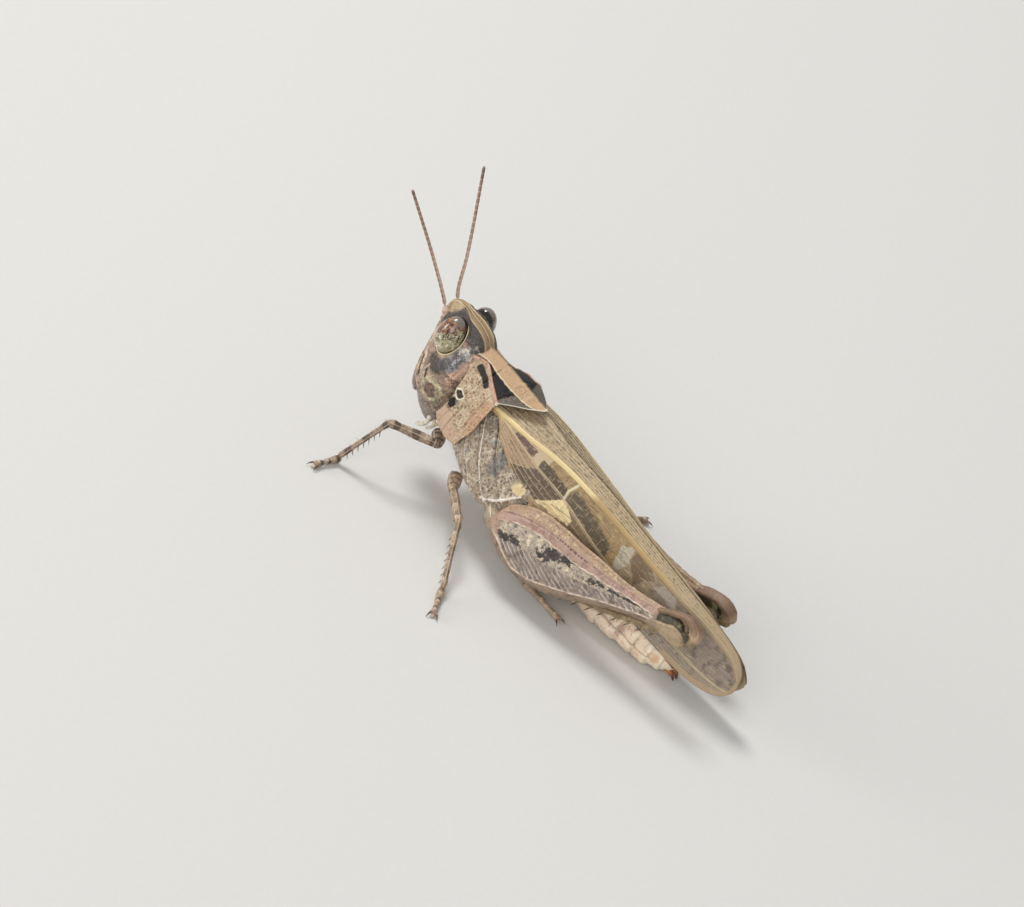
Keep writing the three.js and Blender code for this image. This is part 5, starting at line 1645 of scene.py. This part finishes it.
def thigh_paint():
    p = Paint("hind_thigh_shell", "#a08c7c", 0.42)
    p.mottle("#796658", "#c4b19c", 0.3, 0.8, 95)
    medial = p.level("medial", 0.3, 0.7)
    p.coat("#b2a493", 0.8, medial)
    p.coat("#e6d4b3", 0.75, p.cloud(0.5, 100, 0.0, 0.13), medial)
    p.coat("#83706a", 0.7, p.cloud(0.35, 96, 0.03, 0.15), medial)
    p.coat("#43393a", 0.8, p.cloud(0.2, 104, 0.03, 0.13, 4), medial)
    under = p.level("under", 0.2, 0.7)
    p.coat("#86766c", 0.75, under)
    p.coat("#4a3f3b", 0.6, p.cloud(0.4, 105, 0.0, 0.14), under)
    upper = p.times(p.level("band", 0.0, 0.06), p.level("shell", 0.6, 0.4))
    p.coat("#a68676", 0.85, upper)
    p.coat("#7c5f54", 0.7, p.cloud(0.3, 97, 0.0, 0.13, 4), upper)
    ridge = p.level("above", 0.04, 0.14)
    p.coat("#a2866a", 0.93, ridge)
    p.coat("#cdb48b", 0.65, p.cloud(0.3, 106, 0.02, 0.14, 4), ridge)
    p.coat("#7c5f52", 0.6, p.cloud(0.25, 112, 0.04, 0.14, 4, stretch=(1, 2, 1)), ridge)
    p.coat("#5d4436", 0.5, p.step(p.cells(0.15), 0.33, 0.2), ridge)
    p.coat("#4a3431", 0.8, p.level("dashes", 0.2, 0.6))
    p.coat("#d9cec6", 0.75, p.level("bone", 0.25, 0.8))
    p.coat("#1d1715", 0.92, p.mark("blotch", 0.06, 0.9, 0.2, 98))
    low = p.level("low", 0.0, 0.1)
    p.coat("#937e68", 0.75, low)
    p.coat("#4f4238", 0.7, p.cloud(0.4, 113, 0.02, 0.14, 4), low)
    line = p.times(p.level("keel", 0.45, 0.9), p.level("outside", 0.0, 0.3))
    p.coat("#dfc9b4", 0.8, line, p.cloud(0.35, 114, -0.16, 0.04))
    p.coat("#a98a74", 0.7, p.mark("hip", 0.15, 0.5, 0.3, 108))
    # The hollow under the knee's shell is dark olive: partly its own colour, partly painted shade
    # in the cavity.
    hollow = p.level("hollow", 0.3, 0.7)
    p.coat("#3b3827", 0.93, hollow)
    p.coat("#7f7b50", 0.8, p.cloud(0.45, 109, 0.04, 0.14, 2), hollow)
    covered = p.math("ADD", hollow, p.value("shell"))
    lobe = p.times(p.level("t", 0.8, 0.84), p.step(covered, 0.5, 0.2))
    p.coat("#a89272", 0.85, lobe)
    p.coat("#7f6c58", 0.6, p.cloud(0.25, 110, 0.0, 0.14), lobe)
    shell = p.level("shell", 0.4, 0.6)
    p.coat("#7e634b", 0.97, shell)
    p.coat("#6a5344", 0.7, p.cloud(0.35, 111, 0.0, 0.14, 4), shell)
    p.coat("#d8bf9c", 0.75, p.level("share", -0.6, -0.9), shell)
    p.coat("#c0a486", 0.6, p.level("t", 0.84, 0.97), shell)
    p.speckle("#4b3b36", 0.17, 0.2, 0.6, p.level("shell", 0.5, 0.4))
    return p.finish(p.noise(0.06, 4, 99), 0.025)


HIND_SHANK = [[0, 0.34], [0.05, 0.3], [0.12, 0.2], [0.5, 0.19], [0.9, 0.2], [0.97, 0.25],
              [1, 0.2]]
HIND_COXA = [[0, 0.6, 0.58], [0.5, 0.64, 0.6], [1, 0.42, 0.42]]


def hind_shank(side):
    """The shank, with two rows of ten spines and two pairs of spurs at the ankle."""
    x, y, z = HIND_KNEE[side]
    ankle = np.array(HIND_LEG["ankle"])
    bends = [(x, y - 0.35, z - 0.35), (x, y - 4.1, z - 1.85), (x - 0.05, y - 7.35, z - 3.02)]
    points = [*bends, ankle]
    grid, t, angle = rod(points, through(HIND_SHANK), rings=240, sides=32)
    form = tube(grid, dome=0.6, t=t, keel=hump(np.sin(angle) - 1, 0.2))
    form.raised(0.01 * fractal(form.points, 0.2, 101, 2))
    forms = [form]
    path = path_through(points, 200)
    for i, way in itertools.product(range(10), (1, -1)):
        k = int(40 + 15.5 * i)
        root = path[k] + [way * 0.12, 0, -0.1]
        tip = root + unit(path[k] - path[k - 1]) * 0.26 + [way * 0.24, 0, -0.26]
        forms.append(spike(root, tip, 0.06, sides=8, claw=1))
    for way, turn in itertools.product((1, -1), (0.3, 0.5)):
        root = ankle + [way * 0.15, 0.1, -0.05]
        tip = root + [way * 0.6 * turn, -0.05, 0.2 * turn - 0.42]
        forms.append(spike(root, tip, 0.065, sides=8, claw=1))
    return joined(*forms, *hairs(form, 120, 0.3, 7 + side)).on_side(side)


def hind_coxa(side):
    grid, t, angle = limb(HIND_LEG["root"], HIND_LEG["hip"], HIND_COXA, rings=40, sides=60)
    return keeled(grid, t, angle, (0.8, 2.2, -1.2), 0.07, 0.15, claw=0).on_side(side)


# ---------------------------------------------------------------- assembly

piece("head_capsule", head(), head_paint(), "head", "head")
piece("mouthparts_set", mouth(), mouth_paint(), "head", "mouthparts")
lens = eye_paint()
feeler = antenna_paint()
horn = tail_paint()
for side, word in ((1, "left"), (-1, "right")):
    piece(f"eye_lens_{word}", eye(side), lens, "eye", f"eye_{word}")
    piece(f"feeler_{word}", antenna(side), feeler, "antenna", f"antenna_{word}")
    piece(f"tail_cercus_{word}", cercus(side), horn, "abdomen", f"cercus_{word}")
piece("saddle", pronotum(), pronotum_paint(), "pronotum", "pronotum")
piece("thorax_skin", thorax(), thorax_paint(), "thorax", "prosternum", "mesothorax", "metathorax")
piece("abdomen_skin", abdomen(), abdomen_paint(), "abdomen",
      "abdomen_front", "abdomen_middle", "abdomen_tip")
piece("tail_valves", tail(), horn, "valves", "ovipositor")
veil = hindwing_paint()
thigh = thigh_paint()
shin = leg_paint("hind_shank_shell", "#8b7656", "#574735", "#bda57f", 120, 0.2)
hip = leg_paint("hind_hip_shell", "#a1917b", "#5d5043", "#d8cbb1", 160, 0.0)
sole = leg_paint("hind_foot_shell", "#a58d76", "#6f5b4a", "#cbb79c", 130, 0.3)
limbs = {
    "fore": (FORE_LEG, leg_paint("fore_leg_shell", "#94806d", "#3b2f27", "#dcc9b0", 140, 0.8)),
    "mid": (MID_LEG, leg_paint("mid_leg_shell", "#a28a72", "#4a3a2e", "#d6c2a4", 150, 0.5)),
}
for side, word in ((1, "left"), (-1, "right")):
    # One wing material, painted lighter on the left as lit and darker on the right as shade.
    wing = wing_paint(f"forewing_{word}_shell", "#b09a7c" if side > 0 else "#827259")
    piece(f"tegmen_{word}", forewing(side), wing, "forewing", f"forewing_{word}")
    piece(f"folded_wing_{word}", hindwing(side), veil, "hindwing", f"hindwing_{word}")
    piece(f"jumping_thigh_{word}", hind_thigh(side), thigh, "hind_thigh", f"hind_femur_{word}")
    piece(f"jumping_shank_{word}", hind_shank(side), shin, "leg", f"hind_tibia_{word}")
    piece(f"jumping_foot_{word}", foot(HIND_LEG).on_side(side), sole, "leg", f"hind_tarsus_{word}")
    piece(f"jumping_hip_{word}", hind_coxa(side), hip, "leg", f"hind_coxa_{word}")
    for pair, (leg, finish) in limbs.items():
        form = small_leg(leg, 3 + (pair == "mid")).on_side(side)
        nodes = [f"{pair}_{part}_{word}" for part in ("coxa", "femur", "tibia", "tarsus")]
        piece(f"{pair}_leg_{word}", form, finish, "leg", *nodes)

# ---------------------------------------------------------------- stage, light and camera

# The camera's axes, at the photo's viewing angle, and how far off it stands in mm.
RIGHT = (-0.6203, 0.7052, 0.3434)
UP = (-0.2609, -0.5983, 0.7576)
TOWARD = (0.7397, 0.3804, 0.5551)
TARGET = np.array([0, 0, 0.4]) + SHIFT
CAMERA_REACH = 352
GROUND_HALF = 3


def ground():
    """A plain pale floor, reaching GROUND_HALF metres each way."""
    g = GROUND_HALF
    corners = [(-g, -g, 0), (g, -g, 0), (g, g, 0), (-g, g, 0)]
    mesh = bpy.data.meshes.new("ground")
    mesh.from_pydata(corners, [], [(0, 1, 2, 3)])
    p = Paint("ground_paper", "#d3d1cd", 0.9)
    p.coat("#d1cfcb", 0.5, p.cloud(0.4, 200, -0.1, 0.1, 2))
    mesh.materials.append(p.finish())
    floor = bpy.data.objects.new("ground", mesh)
    bpy.context.scene.collection.objects.link(floor)


def place(name, data, x, y, z, where):
    """Puts a lamp or a camera in the scene, its own axes along x, y and z."""
    thing = bpy.data.objects.new(name, data)
    rows = [[x[k], y[k], z[k], where[k]] for k in range(3)]
    thing.matrix_world = Matrix(rows + [[0, 0, 0, 1]])
    bpy.context.scene.collection.objects.link(thing)
    return thing


def lamp(name, direction, reach, size, power):
    """A round soft lamp that faces the model from a direction, in metres and watts."""
    light = bpy.data.lights.new(name, "AREA")
    light.shape = "DISK"
    light.size = size
    light.energy = power
    way = unit(direction)
    x = unit(np.cross((0, 0, 1), way))
    place(name, light, x, np.cross(way, x), way, TARGET * MM + way * reach)


def backdrop():
    """Even white light from all round, with a plain grey seen behind the floor."""
    world = bpy.data.worlds.new("studio")
    world.use_nodes = True
    tree = world.node_tree
    soft = tree.nodes["Background"]
    soft.inputs["Color"].default_value = (1, 1, 1, 1)
    soft.inputs["Strength"].default_value = 0.45
    seen = add_node(tree, "ShaderNodeBackground", {"Color": rgb("#dcdad6")})
    rays = add_node(tree, "ShaderNodeLightPath").outputs
    either = add_node(
        tree, "ShaderNodeMath",
        {0: rays["Is Camera Ray"], 1: rays["Is Transmission Ray"]}, operation="MAXIMUM")
    mix = add_node(
        tree, "ShaderNodeMixShader",
        {0: either.outputs[0], 1: soft.outputs[0], 2: seen.outputs[0]})
    tree.links.new(mix.outputs[0], tree.nodes["World Output"].inputs["Surface"])
    bpy.context.scene.world = world


ground()
backdrop()
lamp("key", (-0.15, -0.6, 1.0), reach=0.35, size=0.12, power=0.7)
lamp("fill", (1.0, 0.3, 0.6), reach=0.4, size=0.25, power=0.6)
lamp("face", (0.7, -1.0, 0.3), reach=0.4, size=0.2, power=0.5)

view = bpy.data.cameras.new("view")
view.lens = 239.96
view.sensor_width = 36
view.shift_x = 0.0365
view.shift_y = 0.0497
view.clip_start = 0.01
view.clip_end = 20
where = (TARGET + np.array(TOWARD) * CAMERA_REACH) * MM
bpy.context.scene.camera = place("view", view, RIGHT, UP, TOWARD, where)
bpy.context.scene.view_settings.view_transform = "Standard"
